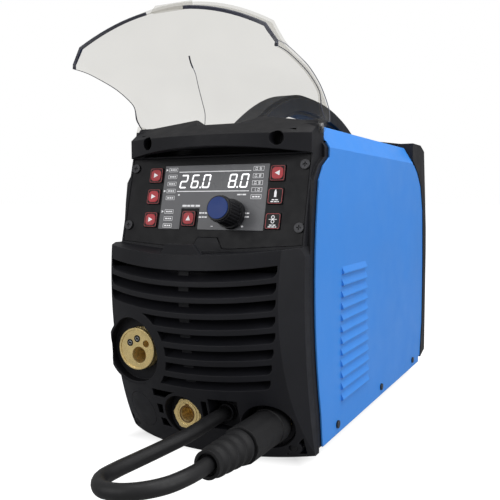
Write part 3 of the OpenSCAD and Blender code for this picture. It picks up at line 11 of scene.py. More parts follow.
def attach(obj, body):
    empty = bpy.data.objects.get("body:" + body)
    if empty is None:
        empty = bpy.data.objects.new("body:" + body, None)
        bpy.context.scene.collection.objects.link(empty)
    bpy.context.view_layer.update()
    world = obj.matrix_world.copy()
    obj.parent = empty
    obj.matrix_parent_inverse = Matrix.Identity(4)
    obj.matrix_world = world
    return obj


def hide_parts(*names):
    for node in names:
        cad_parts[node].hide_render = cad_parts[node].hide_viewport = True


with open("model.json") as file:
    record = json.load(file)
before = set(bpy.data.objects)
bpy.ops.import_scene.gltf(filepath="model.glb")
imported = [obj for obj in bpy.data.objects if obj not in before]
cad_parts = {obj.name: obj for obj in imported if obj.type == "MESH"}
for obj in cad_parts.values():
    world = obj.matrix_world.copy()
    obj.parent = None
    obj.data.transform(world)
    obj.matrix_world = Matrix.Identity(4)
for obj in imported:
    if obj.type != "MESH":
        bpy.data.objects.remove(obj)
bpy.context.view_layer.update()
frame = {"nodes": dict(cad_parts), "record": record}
scene = bpy.context.scene
MM = 0.001


def mm(*v):
    """A point or size given in millimetres, in metres."""
    return Vector(v) * MM


# ---------------------------------------------------------------- camera

# place in metres, then tilt, roll and pan in degrees, solved from the photo's edges
CAMERA_AT = (0.31404, -0.72185, 0.23174)
CAMERA_TURN = (85.85, -0.12, 27.01)
CAMERA_LENS = 49.0
SENSOR = 36.0


def add_camera():
    data = bpy.data.cameras.new("camera")
    data.lens = CAMERA_LENS
    data.sensor_width = SENSOR
    camera = bpy.data.objects.new("camera", data)
    tilt, roll, pan = (math.radians(a) for a in CAMERA_TURN)
    turn = Matrix.Rotation(pan, 4, "Z") @ Matrix.Rotation(tilt, 4, "X")
    camera.matrix_world = Matrix.Translation(CAMERA_AT) @ turn @ Matrix.Rotation(roll, 4, "Z")
    scene.collection.objects.link(camera)
    scene.camera = camera


add_camera()

# ---------------------------------------------------------------- materials


def link(tree, a, out, b, into):
    tree.links.new(a.outputs[out], b.inputs[into])


# sockets of a colour Mix node
MIX_SHARE, MIX_LOW, MIX_HIGH, MIX_OUT = 0, 6, 7, 2
NOISE_RANGE = (0.3, 0.7)
EDGE_RANGE = (1.0, 0.75)


def noise(tree, scale, detail=3.0):
    where = tree.nodes.new("ShaderNodeTexCoord")
    node = tree.nodes.new("ShaderNodeTexNoise")
    node.inputs["Scale"].default_value = scale
    node.inputs["Detail"].default_value = detail
    link(tree, where, "Object", node, "Vector")
    return node


def map_range(tree, source, out, span, low=0.0, high=1.0):
    """Maps the source's value over span onto low..high, and holds it beyond."""
    node = tree.nodes.new("ShaderNodeMapRange")
    node.inputs["From Min"].default_value = span[0]
    node.inputs["From Max"].default_value = span[1]
    node.inputs["To Min"].default_value = low
    node.inputs["To Max"].default_value = high
    link(tree, source, out, node, "Value")
    return node


def ramp(tree, source, low, high):
    """Maps a noise's middle range onto low..high."""
    return map_range(tree, source, "Fac", NOISE_RANGE, low, high)


def dot_product(tree, a, a_out, b, b_out):
    node = tree.nodes.new("ShaderNodeVectorMath")
    node.operation = "DOT_PRODUCT"
    link(tree, a, a_out, node, 0)
    link(tree, b, b_out, node, 1)
    return node


def math_node(tree, operation):
    node = tree.nodes.new("ShaderNodeMath")
    node.operation = operation
    return node


def colour_mix(tree, share, high, low=None):
    """Mixes towards colour high by the share's result, from colour low or from what is linked there."""
    mix = tree.nodes.new("ShaderNodeMix")
    mix.data_type = "RGBA"
    if low:
        mix.inputs[MIX_LOW].default_value = [*low, 1]
    mix.inputs[MIX_HIGH].default_value = [*high, 1]
    link(tree, share, "Result", mix, MIX_SHARE)
    return mix


def edge_mask(tree, rounded, strength):
    """1 on convex and concave edges, 0 on flat faces, times strength."""
    flat = tree.nodes.new("ShaderNodeNewGeometry")
    dot = dot_product(tree, rounded, "Normal", flat, "Normal")
    return map_range(tree, dot, "Value", EDGE_RANGE, high=strength)


GLOSS_SPREAD = 0.06
BEVEL_SAMPLES = 6
BUMP_STRENGTH = 0.6


def finish_material(name, colour, roughness, metallic=0.0, shade=0.12, mottle=40.0,
                    grain=2200.0, depth=0.04, edge=0.0007, edge_wear_and_highlight=None, edge_wear_and_highlight_share=0.5,
                    specular=0.5):
    """A procedural finish: mottled colour, grained bump, uneven gloss and rounded edges, lighter along
    them by a painted edge highlight together with wear.

    The bump's depth is in millimetres and the edge's radius in metres."""
    material = bpy.data.materials.new(name)
    material.use_nodes = True
    tree = material.node_tree
    shader = tree.nodes["Principled BSDF"]
    shader.inputs["Metallic"].default_value = metallic
    shader.inputs["Specular IOR Level"].default_value = specular
    mix = colour_mix(tree, ramp(tree, noise(tree, mottle), 0, 1),
                     [min(1, c * (1 + shade)) for c in colour], [c * (1 - shade) for c in colour])
    gloss = ramp(tree, noise(tree, mottle * 3), roughness - GLOSS_SPREAD, roughness + GLOSS_SPREAD)
    link(tree, gloss, "Result", shader, "Roughness")
    rounded = tree.nodes.new("ShaderNodeBevel")
    rounded.samples = BEVEL_SAMPLES
    rounded.inputs["Radius"].default_value = edge
    bump = tree.nodes.new("ShaderNodeBump")
    bump.inputs["Strength"].default_value = BUMP_STRENGTH
    bump.inputs["Distance"].default_value = depth * MM
    link(tree, noise(tree, grain, 2.0), "Fac", bump, "Height")
    link(tree, rounded, "Normal", bump, "Normal")
    link(tree, bump, "Normal", shader, "Normal")
    # painted edge highlight with wear: a lighter colour on convex and concave edges
    if edge_wear_and_highlight:
        light = colour_mix(tree, edge_mask(tree, rounded, edge_wear_and_highlight_share), edge_wear_and_highlight)
        link(tree, mix, MIX_OUT, light, MIX_LOW)
        mix = light
    link(tree, mix, MIX_OUT, shader, "Base Color")
    return material


CLEAR_GLOSS = (0.05, 0.1)
CLEAR_REFLECTION = (0.012, 0.035)
CLEAR_SHADE = 0.965


def clear_material(name, tint):
    """A thin clear sheet: what is behind shows through unbent, with soft reflections on top."""
    material = bpy.data.materials.new(name)
    material.use_nodes = True
    tree = material.node_tree
    shader = tree.nodes["Principled BSDF"]
    shader.inputs["Base Color"].default_value = (0.8, 0.8, 0.8, 1)
    link(tree, ramp(tree, noise(tree, 60), *CLEAR_GLOSS), "Result", shader, "Roughness")
    mix = colour_mix(tree, ramp(tree, noise(tree, 9), 0, 1), [c * CLEAR_SHADE for c in tint], tint)
    through = tree.nodes.new("ShaderNodeBsdfTransparent")
    link(tree, mix, MIX_OUT, through, "Color")
    both = tree.nodes.new("ShaderNodeMixShader")
    link(tree, ramp(tree, noise(tree, 14), *CLEAR_REFLECTION), "Result", both, 0)
    link(tree, through, "BSDF", both, 1)
    link(tree, shader, "BSDF", both, 2)
    link(tree, both, "Shader", tree.nodes["Material Output"], "Surface")
    return material


def lit_material(name, colour, strength):
    """Print or a lit segment: it glows a little, so that it stays white in shade."""
    material = finish_material(name, colour, 0.5, shade=0.02, edge=0.0001)
    shader = material.node_tree.nodes["Principled BSDF"]
    shader.inputs["Emission Color"].default_value = [*colour, 1]
    shader.inputs["Emission Strength"].default_value = strength
    return material


BLACK = (0.0098, 0.01, 0.0128)
MATERIALS = {
    "blue_paint": finish_material("blue_paint", (0.044, 0.262, 0.79), 0.42, shade=0.02,
                                  mottle=9, grain=1400, depth=0.05, edge=0.0008, specular=0.3,
                                  edge_wear_and_highlight=(0.13, 0.34, 0.82), edge_wear_and_highlight_share=0.6),
    "black_plastic": finish_material("black_plastic", BLACK, 0.52, shade=0.1, mottle=25,
                                     grain=2600, depth=0.05, edge=0.0009, specular=0.22,
                                     edge_wear_and_highlight=(0.035, 0.035, 0.038), edge_wear_and_highlight_share=0.5),
    "soft_grip": finish_material("soft_grip", (0.011, 0.011, 0.012), 0.6, grain=3200,
                                 depth=0.06, edge=0.0012, specular=0.25,
                                 edge_wear_and_highlight=(0.03, 0.03, 0.032)),
    "rubber": finish_material("rubber", (0.012, 0.012, 0.012), 0.8, grain=1800, depth=0.08),
    "cable_rubber": finish_material("cable_rubber", (0.0095, 0.0095, 0.0105), 0.5, grain=900,
                                    depth=0.06, mottle=60, shade=0.15, specular=0.35),
    "panel_black": finish_material("panel_black", (0.0055, 0.0055, 0.007), 0.42, shade=0.06,
                                   grain=3500, depth=0.02, edge=0.0005, specular=0.17),
    "window_grey": finish_material("window_grey", (0.145, 0.147, 0.157), 0.3, shade=0.05,
                                   mottle=12, grain=4000, depth=0.006, edge=0.0003,
                                   specular=0.3),
    "knob_black": finish_material("knob_black", (0.009, 0.009, 0.011), 0.42, edge=0.0006,
                                  depth=0.03, specular=0.3, edge_wear_and_highlight=(0.04, 0.04, 0.045)),
    "knob_blue": finish_material("knob_blue", (0.009, 0.036, 0.18), 0.38, specular=0.25, depth=0.02,
                                 shade=0.05, edge=0.0006, edge_wear_and_highlight=(0.05, 0.11, 0.3)),
    "button_red": finish_material("button_red", (0.48, 0.018, 0.03), 0.4, depth=0.02,
                                  shade=0.08, edge=0.0005, edge_wear_and_highlight=(0.62, 0.06, 0.07)),
    "button_black": finish_material("button_black", (0.006, 0.006, 0.007), 0.45, depth=0.02,
                                    edge=0.0005, specular=0.25),
    "clear_plastic": clear_material("clear_plastic", (0.885, 0.88, 0.865)),
    "brass": finish_material("brass", (0.8, 0.62, 0.28), 0.27, metallic=0.5, shade=0.1,
                             mottle=80, grain=700, depth=0.02, edge=0.0005,
                             edge_wear_and_highlight=(0.85, 0.7, 0.4), edge_wear_and_highlight_share=0.6),
    "steel": finish_material("steel", (0.5, 0.5, 0.52), 0.34, metallic=1.0, grain=1200,
                             depth=0.03),
    # the divider behind the slots is near black as painted shade, for it stands in the case's shade
    "dark_sheet": finish_material("dark_sheet", (0.02, 0.02, 0.022), 0.5, grain=1400,
                                  depth=0.05, specular=0.3),
    "cast_metal": finish_material("cast_metal", (0.1, 0.1, 0.11), 0.55, metallic=0.4,
                                  grain=900, depth=0.12),
    "bare_aluminium": finish_material("bare_aluminium", (0.7, 0.71, 0.73), 0.36,
                                      metallic=1.0, grain=500, depth=0.03),
    "circuit_board": finish_material("circuit_board", (0.02, 0.14, 0.06), 0.35, shade=0.25,
                                     mottle=220, depth=0.03),
    "winding_lacquer": finish_material("winding_lacquer", (0.26, 0.1, 0.03), 0.32,
                                       shade=0.3, mottle=150, grain=500, depth=0.4),
    "welding_wire": finish_material("welding_wire", (0.62, 0.36, 0.2), 0.3, metallic=1.0,
                                    shade=0.2, mottle=200, grain=900, depth=0.3),
}


# where the painted shade inside the case turns on, and its near-black colour
CASE_MIDDLE_Z = 0.15
INSIDE_SHADE_RANGE = (-0.01, -0.03)
INSIDE_SHADE_COLOUR = (0.006, 0.008, 0.014)


def paint_shade_inside(material):
    """Paints shade on the faces that look into the case: they turn dark by their own direction on the
    piece.
    """
    tree = material.node_tree
    shader = tree.nodes["Principled BSDF"]
    colour = shader.inputs["Base Color"].links[0].from_socket
    where = tree.nodes.new("ShaderNodeTexCoord")
    out = tree.nodes.new("ShaderNodeVectorMath")
    out.operation = "MULTIPLY_ADD"
    out.inputs[1].default_value = (1, 0, 1)
    out.inputs[2].default_value = (0, 0, -CASE_MIDDLE_Z)
    link(tree, where, "Object", out, 0)
    dot = dot_product(tree, out, "Vector", where, "Normal")
    mix = colour_mix(tree, map_range(tree, dot, "Value", INSIDE_SHADE_RANGE), INSIDE_SHADE_COLOUR)
    tree.links.new(colour, mix.inputs[MIX_LOW])
    link(tree, mix, MIX_OUT, shader, "Base Color")


# painted shade: the blue paint turns near black on the faces that look into the case
paint_shade_inside(MATERIALS["blue_paint"])
SCREW_BLACK = finish_material("screw_black", (0.03, 0.03, 0.033), 0.35, metallic=0.7,
                              depth=0.02, edge_wear_and_highlight=(0.12, 0.12, 0.12))
PRINT_WHITE = lit_material("print_white", (0.82, 0.82, 0.84), 0.25)
DIGIT_WHITE = lit_material("digit_white", (0.95, 0.95, 0.97), 0.9)
RING_RED = finish_material("ring_red", (0.36, 0.05, 0.055), 0.45, shade=0.05, edge=0.0001)
# dark brown brass: painted shade of the chamfer round the socket's bore
BRASS_BORE_SHADE = finish_material("brass_bore_shade", (0.16, 0.08, 0.02), 0.35, metallic=0.5, shade=0.2,
                             mottle=200)
# near-black finish of the painted-shade plate behind the lower front slots
SHADE_BLACK = finish_material("painted_shade_black", (0.004, 0.004, 0.005), 0.8, shade=0.05)
RIM_TINT = finish_material("rim_tint", (0.035, 0.037, 0.06), 0.25, shade=0.1, mottle=120,
                           edge=0.0006, edge_wear_and_highlight=(0.12, 0.13, 0.2))
EDGE_TINT = finish_material("edge_tint", (0.3, 0.3, 0.33), 0.2, shade=0.2, mottle=150, edge=0.0002)


def paint(obj, material):
    obj.data.materials.clear()
    obj.data.materials.append(material)


def paint_nodes():
    own = {name: SCREW_BLACK for name in ("panel_screws", "bezel_screws", "cover_screws")}
    for name in ("mode", "trigger", "process", "setup", "wire"):
        own[name + "_button"] = MATERIALS["button_black"]
    own["euro_contacts"] = MATERIALS["button_black"]
    for row in frame["record"]["subparts"]:
        node = frame["nodes"][row["node"]]
        paint(node, own.get(row["node"], MATERIALS[row["material_slot"]]))


paint_nodes()

# ---------------------------------------------------------------- mesh helpers


def around(side, up, radius, n):
    """n points of a circle, from its centre."""
    turns = [2 * math.pi * k / n for k in range(n)]
    return [(side * math.cos(a) + up * math.sin(a)) * radius for a in turns]


def keep(mesh_name, verts, faces, material, body, smooth=False):
    """One visible piece of the dressed part, on its body."""
    mesh = bpy.data.meshes.new(mesh_name)
    mesh.from_pydata([tuple(v) for v in verts], [], faces)
    mesh.validate()
    mesh.update()
    if smooth:
        mesh.shade_smooth()
    obj = bpy.data.objects.new(mesh_name, mesh)
    scene.collection.objects.link(obj)
    paint(obj, material)
    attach(obj, body)
    return obj


def prisms(name, outlines, low, high, place, material, body):
    """Each convex outline becomes a closed prism from low to high."""
    verts, faces = [], []
    for outline in outlines:
        n, first = len(outline), len(verts)
        verts += [place(x, y, low) for x, y in outline] + [place(x, y, high) for x, y in outline]
        faces.append([first + i for i in reversed(range(n))])
        faces.append([first + n + i for i in range(n)])
        for i in range(n):
            j = (i + 1) % n
            faces.append([first + i, first + j, first + n + j, first + n + i])
    return keep(name, verts, faces, material, body)


def lathe(name, profile, centre, axis, material, body, steps=48):
    """Turns a closed profile of (distance along axis, radius) round axis at centre, into a ring."""
    axis = Vector(axis).normalized()
    side = axis.orthogonal().normalized()
    up = axis.cross(side)
    verts, faces = [], []
    for along, radius in profile:
        verts += [Vector(centre) + axis * along + spoke for spoke in around(side, up, radius, steps)]
    for i in range(len(profile)):
        a, b = i * steps, (i + 1) % len(profile) * steps
        for k in range(steps):
            j = (k + 1) % steps
            faces.append([a + k, a + j, b + j, b + k])
    return keep(name, verts, faces, material, body)


# ---------------------------------------------------------------- polarity cable

CABLE_D = 12 * MM
CABLE_ROUTE = [mm(*p) for p in (
    (27, -206, 45), (27, -228, 45), (24, -262, 42), (17, -290, 39), (11, -314, 37),
    (7, -336, 36), (8, -354, 36), (19, -366, 36), (34, -367, 37), (48, -360, 38),
    (59, -348, 39), (65, -334, 40), (67, -318, 40), (67, -300, 40))]
ROUTE_STEPS = 4
CABLE_SIDES = 20


def hermite(t, p, a, q, b):
    """The curve from p to q with tangents a and b, at share t."""
    return ((2 * t**3 - 3 * t**2 + 1) * p + (t**3 - 2 * t**2 + t) * a
            + (3 * t**2 - 2 * t**3) * q + (t**3 - t**2) * b)


def tangent(p, i):
    """The route's direction at point i: straight out of the gland and straight into the boot."""
    if i == 0:
        return Vector((0, -1, 0)) * (p[1] - p[0]).length
    if i == len(p) - 1:
        return Vector((0, 1, 0)) * (p[i] - p[i - 1]).length
    return (p[i + 1] - p[i - 1]) / 2


def smooth_route(p, steps):
    line = []
    for i in range(len(p) - 1):
        a, b = tangent(p, i), tangent(p, i + 1)
        line += [hermite(k / steps, p[i], a, p[i + 1], b) for k in range(steps)]
    return line + [p[-1]]


def add_cable():
    line = smooth_route(CABLE_ROUTE, ROUTE_STEPS)
    last = len(line) - 1
    verts, faces = [], []
    side = Vector((1, 0, 0))
    for i, point in enumerate(line):
        ahead = (line[min(i + 1, last)] - line[max(i - 1, 0)]).normalized()
        if i in (0, last):
            ahead = Vector((0, -1 if i == 0 else 1, 0))
        side = (side - side.dot(ahead) * ahead).normalized()
        up = ahead.cross(side)
        verts += [point + spoke for spoke in around(side, up, CABLE_D / 2, CABLE_SIDES)]
    for i in range(last):
        a, b = i * CABLE_SIDES, (i + 1) * CABLE_SIDES
        for k in range(CABLE_SIDES):
            j = (k + 1) % CABLE_SIDES
            faces.append([a + k, a + j, b + j, b + k])
    faces.append(list(reversed(range(CABLE_SIDES))))
    faces.append([last * CABLE_SIDES + k for k in range(CABLE_SIDES)])
    cable = keep("polarity_lead", verts, faces, MATERIALS["cable_rubber"],
                 "housing", smooth=True)
    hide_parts("polarity_cable")


add_cable()

# ---------------------------------------------------------------- sockets

# centres (x, z) and faces (y) in millimetres
EURO_AT = (-57, 97)
EURO_FACE = -222
EURO_R = 19.25
CONTACTS = ((-64.5, 102), (-56.6, 106.3))
SOCKETS = (-10, 40)
SOCKET_FACE = -212
RING_CHAMFER = 0.3


def face_ring(name, at, face, r_in, r_out, rise, material):
    """A flat ring on a face that looks forward, standing rise proud of it."""
    c = min(RING_CHAMFER, rise / 2)
    profile = [(0, r_in), (rise - c, r_in), (rise, r_in + c),
               (rise, r_out - c), (rise - c, r_out), (0, r_out)]
    lathe(name, [(a * MM, r * MM) for a, r in profile], mm(at[0], face, at[1]), (0, -1, 0),
          material, "housing")


def add_socket_details():
    brass = MATERIALS["brass"]
    face_ring("torch_socket_rim", EURO_AT, EURO_FACE, EURO_R - 1.9, EURO_R, 0.8, brass)
    for i, at in enumerate(CONTACTS):
        face_ring("contact_insulator_%d" % i, at, EURO_FACE, 1.7, 3.3, 0.12,
                  MATERIALS["button_black"])
        face_ring("contact_sleeve_%d" % i, at, EURO_FACE, 1.2, 1.75, 0.25,
                  MATERIALS["bare_aluminium"])
    # painted shade: a flat dark ring round the bore in place of a shaded chamfer
    face_ring("socket_mouth_shade", SOCKETS, SOCKET_FACE, 6.55, 8, 0.1, BRASS_BORE_SHADE)
    face_ring("socket_rim", SOCKETS, SOCKET_FACE, 9.4, 10.8, 0.6, brass)


# painted shade: a near-black plate behind the lower front slots, its place, size and stroke grid in
# millimetres
SHADE_SCREEN_AT = (-49.5, 47)
SHADE_SCREEN_SIZE = (47, 68)
SHADE_SCREEN_Y = -178
SHADE_SCREEN_PITCH = 3
SHADE_SCREEN_WIRE = 0.8


def add_shade_screen():
    """A near-black plate with a grid of strokes close behind the lower front slots: painted shade where
    the case's inside lies in shade.
    """
    (x0, z0), (w, t) = SHADE_SCREEN_AT, SHADE_SCREEN_SIZE
    wires = [rect(x, z0, SHADE_SCREEN_WIRE, t) for x in range(-72, -26, SHADE_SCREEN_PITCH)]
    wires += [rect(x0, z, w, SHADE_SCREEN_WIRE) for z in range(14, 82, SHADE_SCREEN_PITCH)]
    prisms("shade_screen", wires + [rect(x0, z0, w, t)], 0, 1,
           lambda x, z, out: mm(x, SHADE_SCREEN_Y - out, z), SHADE_BLACK, "housing")


# ---------------------------------------------------------------- visor

PIVOT = mm(0, -156.5, 297)
OPEN_TURN = math.radians(-92)
OPENED = Matrix.Translation(PIVOT) @ Matrix.Rotation(OPEN_TURN, 4, "X") @ Matrix.Translation(-PIVOT)
VISOR_T = 2.2
ROW_PULL = 0.42
# side strip's rear edge, its front edge, the corner and the middle of each row, closed
VISOR_ROWS = (
    ((98.3, -202.8, 198.5), (98.3, -206.8, 198.7), (89, -219.9, 196.2), (0, -243.2, 198.4)),
    ((98.3, -202.2, 220.7), (98.3, -207.4, 217.7), (83.7, -228.4, 223.7), (0, -251.4, 223.2)),
    ((98.3, -195.4, 258.7), (98.3, -201.4, 259.7), (56.5, -213, 259.7), (0, -217, 259.7)),
    ((98.3, -184.4, 285.7), (98.3, -189.9, 289.7), (56.5, -205, 292.7), (0, -208.6, 292.7)),
    ((98.3, -171, 291), (98.3, -173, 311.5), (56.5, -179, 315.5), (0, -182, 316.8)),
    ((98.3, -162, 301), (98.3, -161.5, 313.5), (56.5, -161.5, 316.2), (0, -161.5, 316.5)))


HINGE_V = len(VISOR_ROWS) - 1
SIDE_C = 6
MIDDLE_C = SIDE_C / 2


def row_point(row, c):
    """c runs 0..1 over the side strip, 1..2 over the corner facet, 2..3 to the middle."""
    if c <= 2:
        a, b = (row[0], row[1]) if c <= 1 else (row[1], row[2])
        t = c if c <= 1 else c - 1
        return Vector(a) * (1 - t) + Vector(b) * t
    corner, middle = Vector(row[2]), Vector(row[3])
    t = MIDDLE_C - c
    return Vector((corner.x * t, middle.y + (corner.y - middle.y) * t * t,
                   middle.z + (corner.z - middle.z) * t * t))


def visor_at(v, c):
    """A point of the closed visor's outer face: v 0..5 from rim to hinge, c 0..6 from +x to -x."""
    half = min(c, SIDE_C - c)
    i = min(int(v), HINGE_V - 1)
    p = [row_point(VISOR_ROWS[max(0, min(HINGE_V, k))], half) for k in (i - 1, i, i + 1, i + 2)]
    q = hermite(v - i, p[1], (p[2] - p[0]) * ROW_PULL, p[2], (p[3] - p[1]) * ROW_PULL)
    return Vector((q.x if c <= MIDDLE_C else -q.x, q.y, q.z))


def visor_normal(v, c):
    e = 0.02
    along = visor_at(min(HINGE_V, v + e), c) - visor_at(max(0, v - e), c)
    across = visor_at(v, min(SIDE_C, c + e)) - visor_at(v, max(0, c - e))
    return across.cross(along).normalized()


OUTWARD = -1 if visor_normal(2.5, MIDDLE_C).y > 0 else 1
MARK_C = 3.25
MARK_SWAY = 0.36
MARK_FROM = 1.85
MARK_LENGTH = 2.1


def mark_line(v):
    """Where the fine mark on the left half of the visor runs."""
    share = min(1, max(0, (v - MARK_FROM) / MARK_LENGTH))
    return MARK_C + MARK_SWAY * math.sin(math.pi / 2 * share)


CREASE = math.radians(34)


def visor_patch(name, vs, cs, lift, depth, material, line=None):
    """The visor's stretch over vs and cs, as a closed plate from lift above its outer face.

    With a line, cs are distances from it."""
    rows, cols = len(vs), len(cs)
    outer, inner = [], []
    for v in vs:
        for c in cs:
            c = c + line(v) if line else c
            p, n = visor_at(v, c), visor_normal(v, c) * OUTWARD
            outer.append(OPENED @ mm(*(p + n * lift)))
            inner.append(OPENED @ mm(*(p + n * (lift - depth))))
    count = rows * cols
    faces = []
    for i in range(rows - 1):
        for k in range(cols - 1):
            a, b = i * cols + k, (i + 1) * cols + k
            faces.append([a, a + 1, b + 1, b])
            faces.append([count + b, count + b + 1, count + a + 1, count + a])
    edge = list(range(cols)) + [i * cols + cols - 1 for i in range(1, rows)]
    edge += [(rows - 1) * cols + k for k in range(cols - 2, -1, -1)]
    edge += [i * cols for i in range(rows - 2, 0, -1)]
    for i, a in enumerate(edge):
        b = edge[(i + 1) % len(edge)]
        faces.append([b, a, count + a, count + b])
    obj = keep(name, outer + inner, faces, material, "visor", smooth=True)
    mesh = bmesh.new()
    mesh.from_mesh(obj.data)
    bmesh.ops.recalc_face_normals(mesh, faces=mesh.faces)
    for fold in mesh.edges:
        if len(fold.link_faces) == 2 and fold.calc_face_angle() > CREASE:
            fold.smooth = False
    mesh.to_mesh(obj.data)
    mesh.free()
    return obj


def steps(low, high, n):
    return [low + (high - low) * i / n for i in range(n + 1)]


def visor_bar(name, profile, x0, x1):
    """A clear bar of the visor from x0 to x1, from its (y, z) outline when closed."""
    verts = [OPENED @ mm(x, y, z) for x in (x0, x1) for y, z in profile]
    n = len(profile)
    faces = [list(range(n)), list(range(2 * n - 1, n - 1, -1))]
    faces += [[i, (i + 1) % n, n + (i + 1) % n, n + i] for i in range(n)]
    keep(name, verts, faces, MATERIALS["clear_plastic"], "visor")


RIM_V = 0.14
RIM_LIFT = 0.15
RIM_SIDES = (("left", 3.25, SIDE_C), ("right", 0, 2.9))
EDGE_SIDES = (("right", 0, 0.09), ("left", 5.91, SIDE_C))
MARK_FINE_V = 2.4
# name, v from and to, steps, half width in c
MARKS = (("top", 1.9, MARK_FINE_V, 8, 0.012), ("low", MARK_FINE_V, HINGE_V, 24, 0.004))
TAB = ((-241, 199), (-249, 206), (-250, 209.5), (-247, 209.5), (-242, 205))
EAR = ((-165, 293.5), (-158.5, 291), (-152.5, 292.5), (-150.5, 297), (-152, 301.5), (-158, 305),
       (-164.5, 304))


def add_visor():
    across = [0, 0.5] + steps(1, 2, 3) + steps(2, 4, 24)[1:-1] + steps(4, 5, 3) + [5.5, SIDE_C]
    shell = visor_patch("visor_shell", steps(0, HINGE_V, 40), across, 0, VISOR_T,
                        MATERIALS["clear_plastic"])
    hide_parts("visor")
    for name, low, high in RIM_SIDES:
        visor_patch("visor_rim_" + name, steps(0, RIM_V, 2), [c for c in across if low <= c <= high],
                    RIM_LIFT, VISOR_T + 2 * RIM_LIFT, RIM_TINT)
    for name, low, high in EDGE_SIDES:
        visor_patch("visor_edge_" + name, steps(RIM_V, HINGE_V, 36), [low, high], 0.1, 0.5, RIM_TINT)
    visor_patch("visor_corner_right", steps(RIM_V, 4.9, 36), [0.95, 1.02], 0.15, 0.4, EDGE_TINT)
    for name, low, high, n, half in MARKS:
        visor_patch("visor_mark_" + name, steps(low, high, n), [-half, half], 0.2, 0.5, RIM_TINT,
                    mark_line)
    visor_bar("visor_tab", TAB, -17, 17)
    visor_bar("visor_ear_right", EAR, 95.7, 98)
    visor_bar("visor_ear_left", EAR, -98, -95.7)


add_visor()

# ---------------------------------------------------------------- control panel

PANEL_LEAN = math.radians(14)
PANEL_FOOT = mm(0, -192.2, 194)
PLATE_TOP = -0.5
BUTTON_TOP = 1.0
PRINT_T = 0.15


def on_panel(x, h, out):
    """A point on the sloping panel, in millimetres across, up and out of it."""
    up = Vector((0, math.sin(PANEL_LEAN), math.cos(PANEL_LEAN)))
    away = Vector((0, -math.cos(PANEL_LEAN), math.sin(PANEL_LEAN)))
    return PANEL_FOOT + (Vector((1, 0, 0)) * x + up * h + away * out) * MM


def rect(x, h, w, t):
    return [(x + i * w / 2, h + k * t / 2) for i, k in ((-1, -1), (1, -1), (1, 1), (-1, 1))]


def box_frame(x, h, w, t, line):
    return [rect(x, h - t / 2, w, line), rect(x, h + t / 2, w, line),
            rect(x - w / 2, h, line, t), rect(x + w / 2, h, line, t)]


def arrow(x, h, size, turn):
    """A triangle that points right, turned by turn quarter turns."""
    a = turn * math.pi / 2
    points = [(-0.5, -0.55), (0.6, 0), (-0.5, 0.55)]
    return [(x + size * (px * math.cos(a) - py * math.sin(a)),
             h + size * (px * math.sin(a) + py * math.cos(a))) for px, py in points]


def disc(x, h, r, n=14):
    turns = [2 * math.pi * k / n for k in range(n)]
    return [(x + r * math.cos(a), h + r * math.sin(a)) for a in turns]


def round_box(x, h, w, t, r, n=5):
    points = []
    for cx, cy, a0 in ((1, 1, 0), (-1, 1, 90), (-1, -1, 180), (1, -1, 270)):
        for k in range(n + 1):
            a = math.radians(a0 + 90 * k / n)
            points.append((x + cx * (w / 2 - r) + r * math.cos(a),
                           h + cy * (t / 2 - r) + r * math.sin(a)))
    return points


def ring(outer, inner):
    """The strip between two outlines with the same number of points, as quads."""
    n = len(outer)
    return [[outer[i], outer[(i + 1) % n], inner[(i + 1) % n], inner[i]] for i in range(n)]


SEGMENTS = {"0": "abcdef", "1": "bc", "2": "abged", "6": "afgedc", "8": "abcdefg", "9": "abcdfg"}
SLANT = 0.13


def digit(char, x, h, w, t, line):
    """Slanted seven-segment figure with its lower left corner at x, h."""
    mid, gap, half = t / 2, line * 0.18, line / 2

    def level(y):
        near, far = line * 0.7 + gap, w - line * 0.7 - gap
        return [(gap + line * 0.2, y), (near, y - half), (far, y - half),
                (w - gap - line * 0.2, y), (far, y + half), (near, y + half)]

    def upright(cx, y0, y1):
        low, high = y0 + line * 0.6, y1 - line * 0.6
        return [(cx, y0 + gap), (cx + half, low), (cx + half, high),
                (cx, y1 - gap), (cx - half, high), (cx - half, low)]

    shapes = {"a": level(t - half), "g": level(mid), "d": level(half),
              "f": upright(half, mid, t - half * 0.4), "e": upright(half, half * 0.4, mid),
              "b": upright(w - half, mid, t - half * 0.4), "c": upright(w - half, half * 0.4, mid)}
    return [[(x + px + SLANT * py, h + py) for px, py in shapes[s]] for s in SEGMENTS[char]]


def number(text, x, h, w, t, line, pitch):
    """A row of figures; a point takes no width of its own."""
    found = []
    for char in text:
        if char == ".":
            found.append(rect(x - pitch + w + line * 0.9, h + line / 2, line, line))
        else:
            found += digit(char, x, h, w, t, line)
            x += pitch
    return found


def words(x, h, w, t, pattern):
    """Short strokes in place of small lettering."""
    total = sum(pattern)
    found, at = [], x - w / 2
    for i, share in enumerate(pattern):
        width = w * share / total
        if i % 2 == 0:
            found.append(rect(at + width / 2, h, width, t))
        at += width
    return found


MODE_HEIGHTS = (69, 62.3, 55.4, 48.5, 41.8)
PROCESS_HEIGHTS = (28.6, 21.9, 15.2)
WIRE_HEIGHTS = (68.5, 61.8, 55.4, 49, 42.6)
WIRE_SIZES = ("0.6", "0.8", "0.9", "1.0")
FRAME_LINE = 0.3
SMALL_T = 1.3
SMALL_ARROW = 2.2
# the large figures' foot, width, height and stroke
FIGURE = (51, 7.8, 13, 1.35)
POINT_D = 1.5


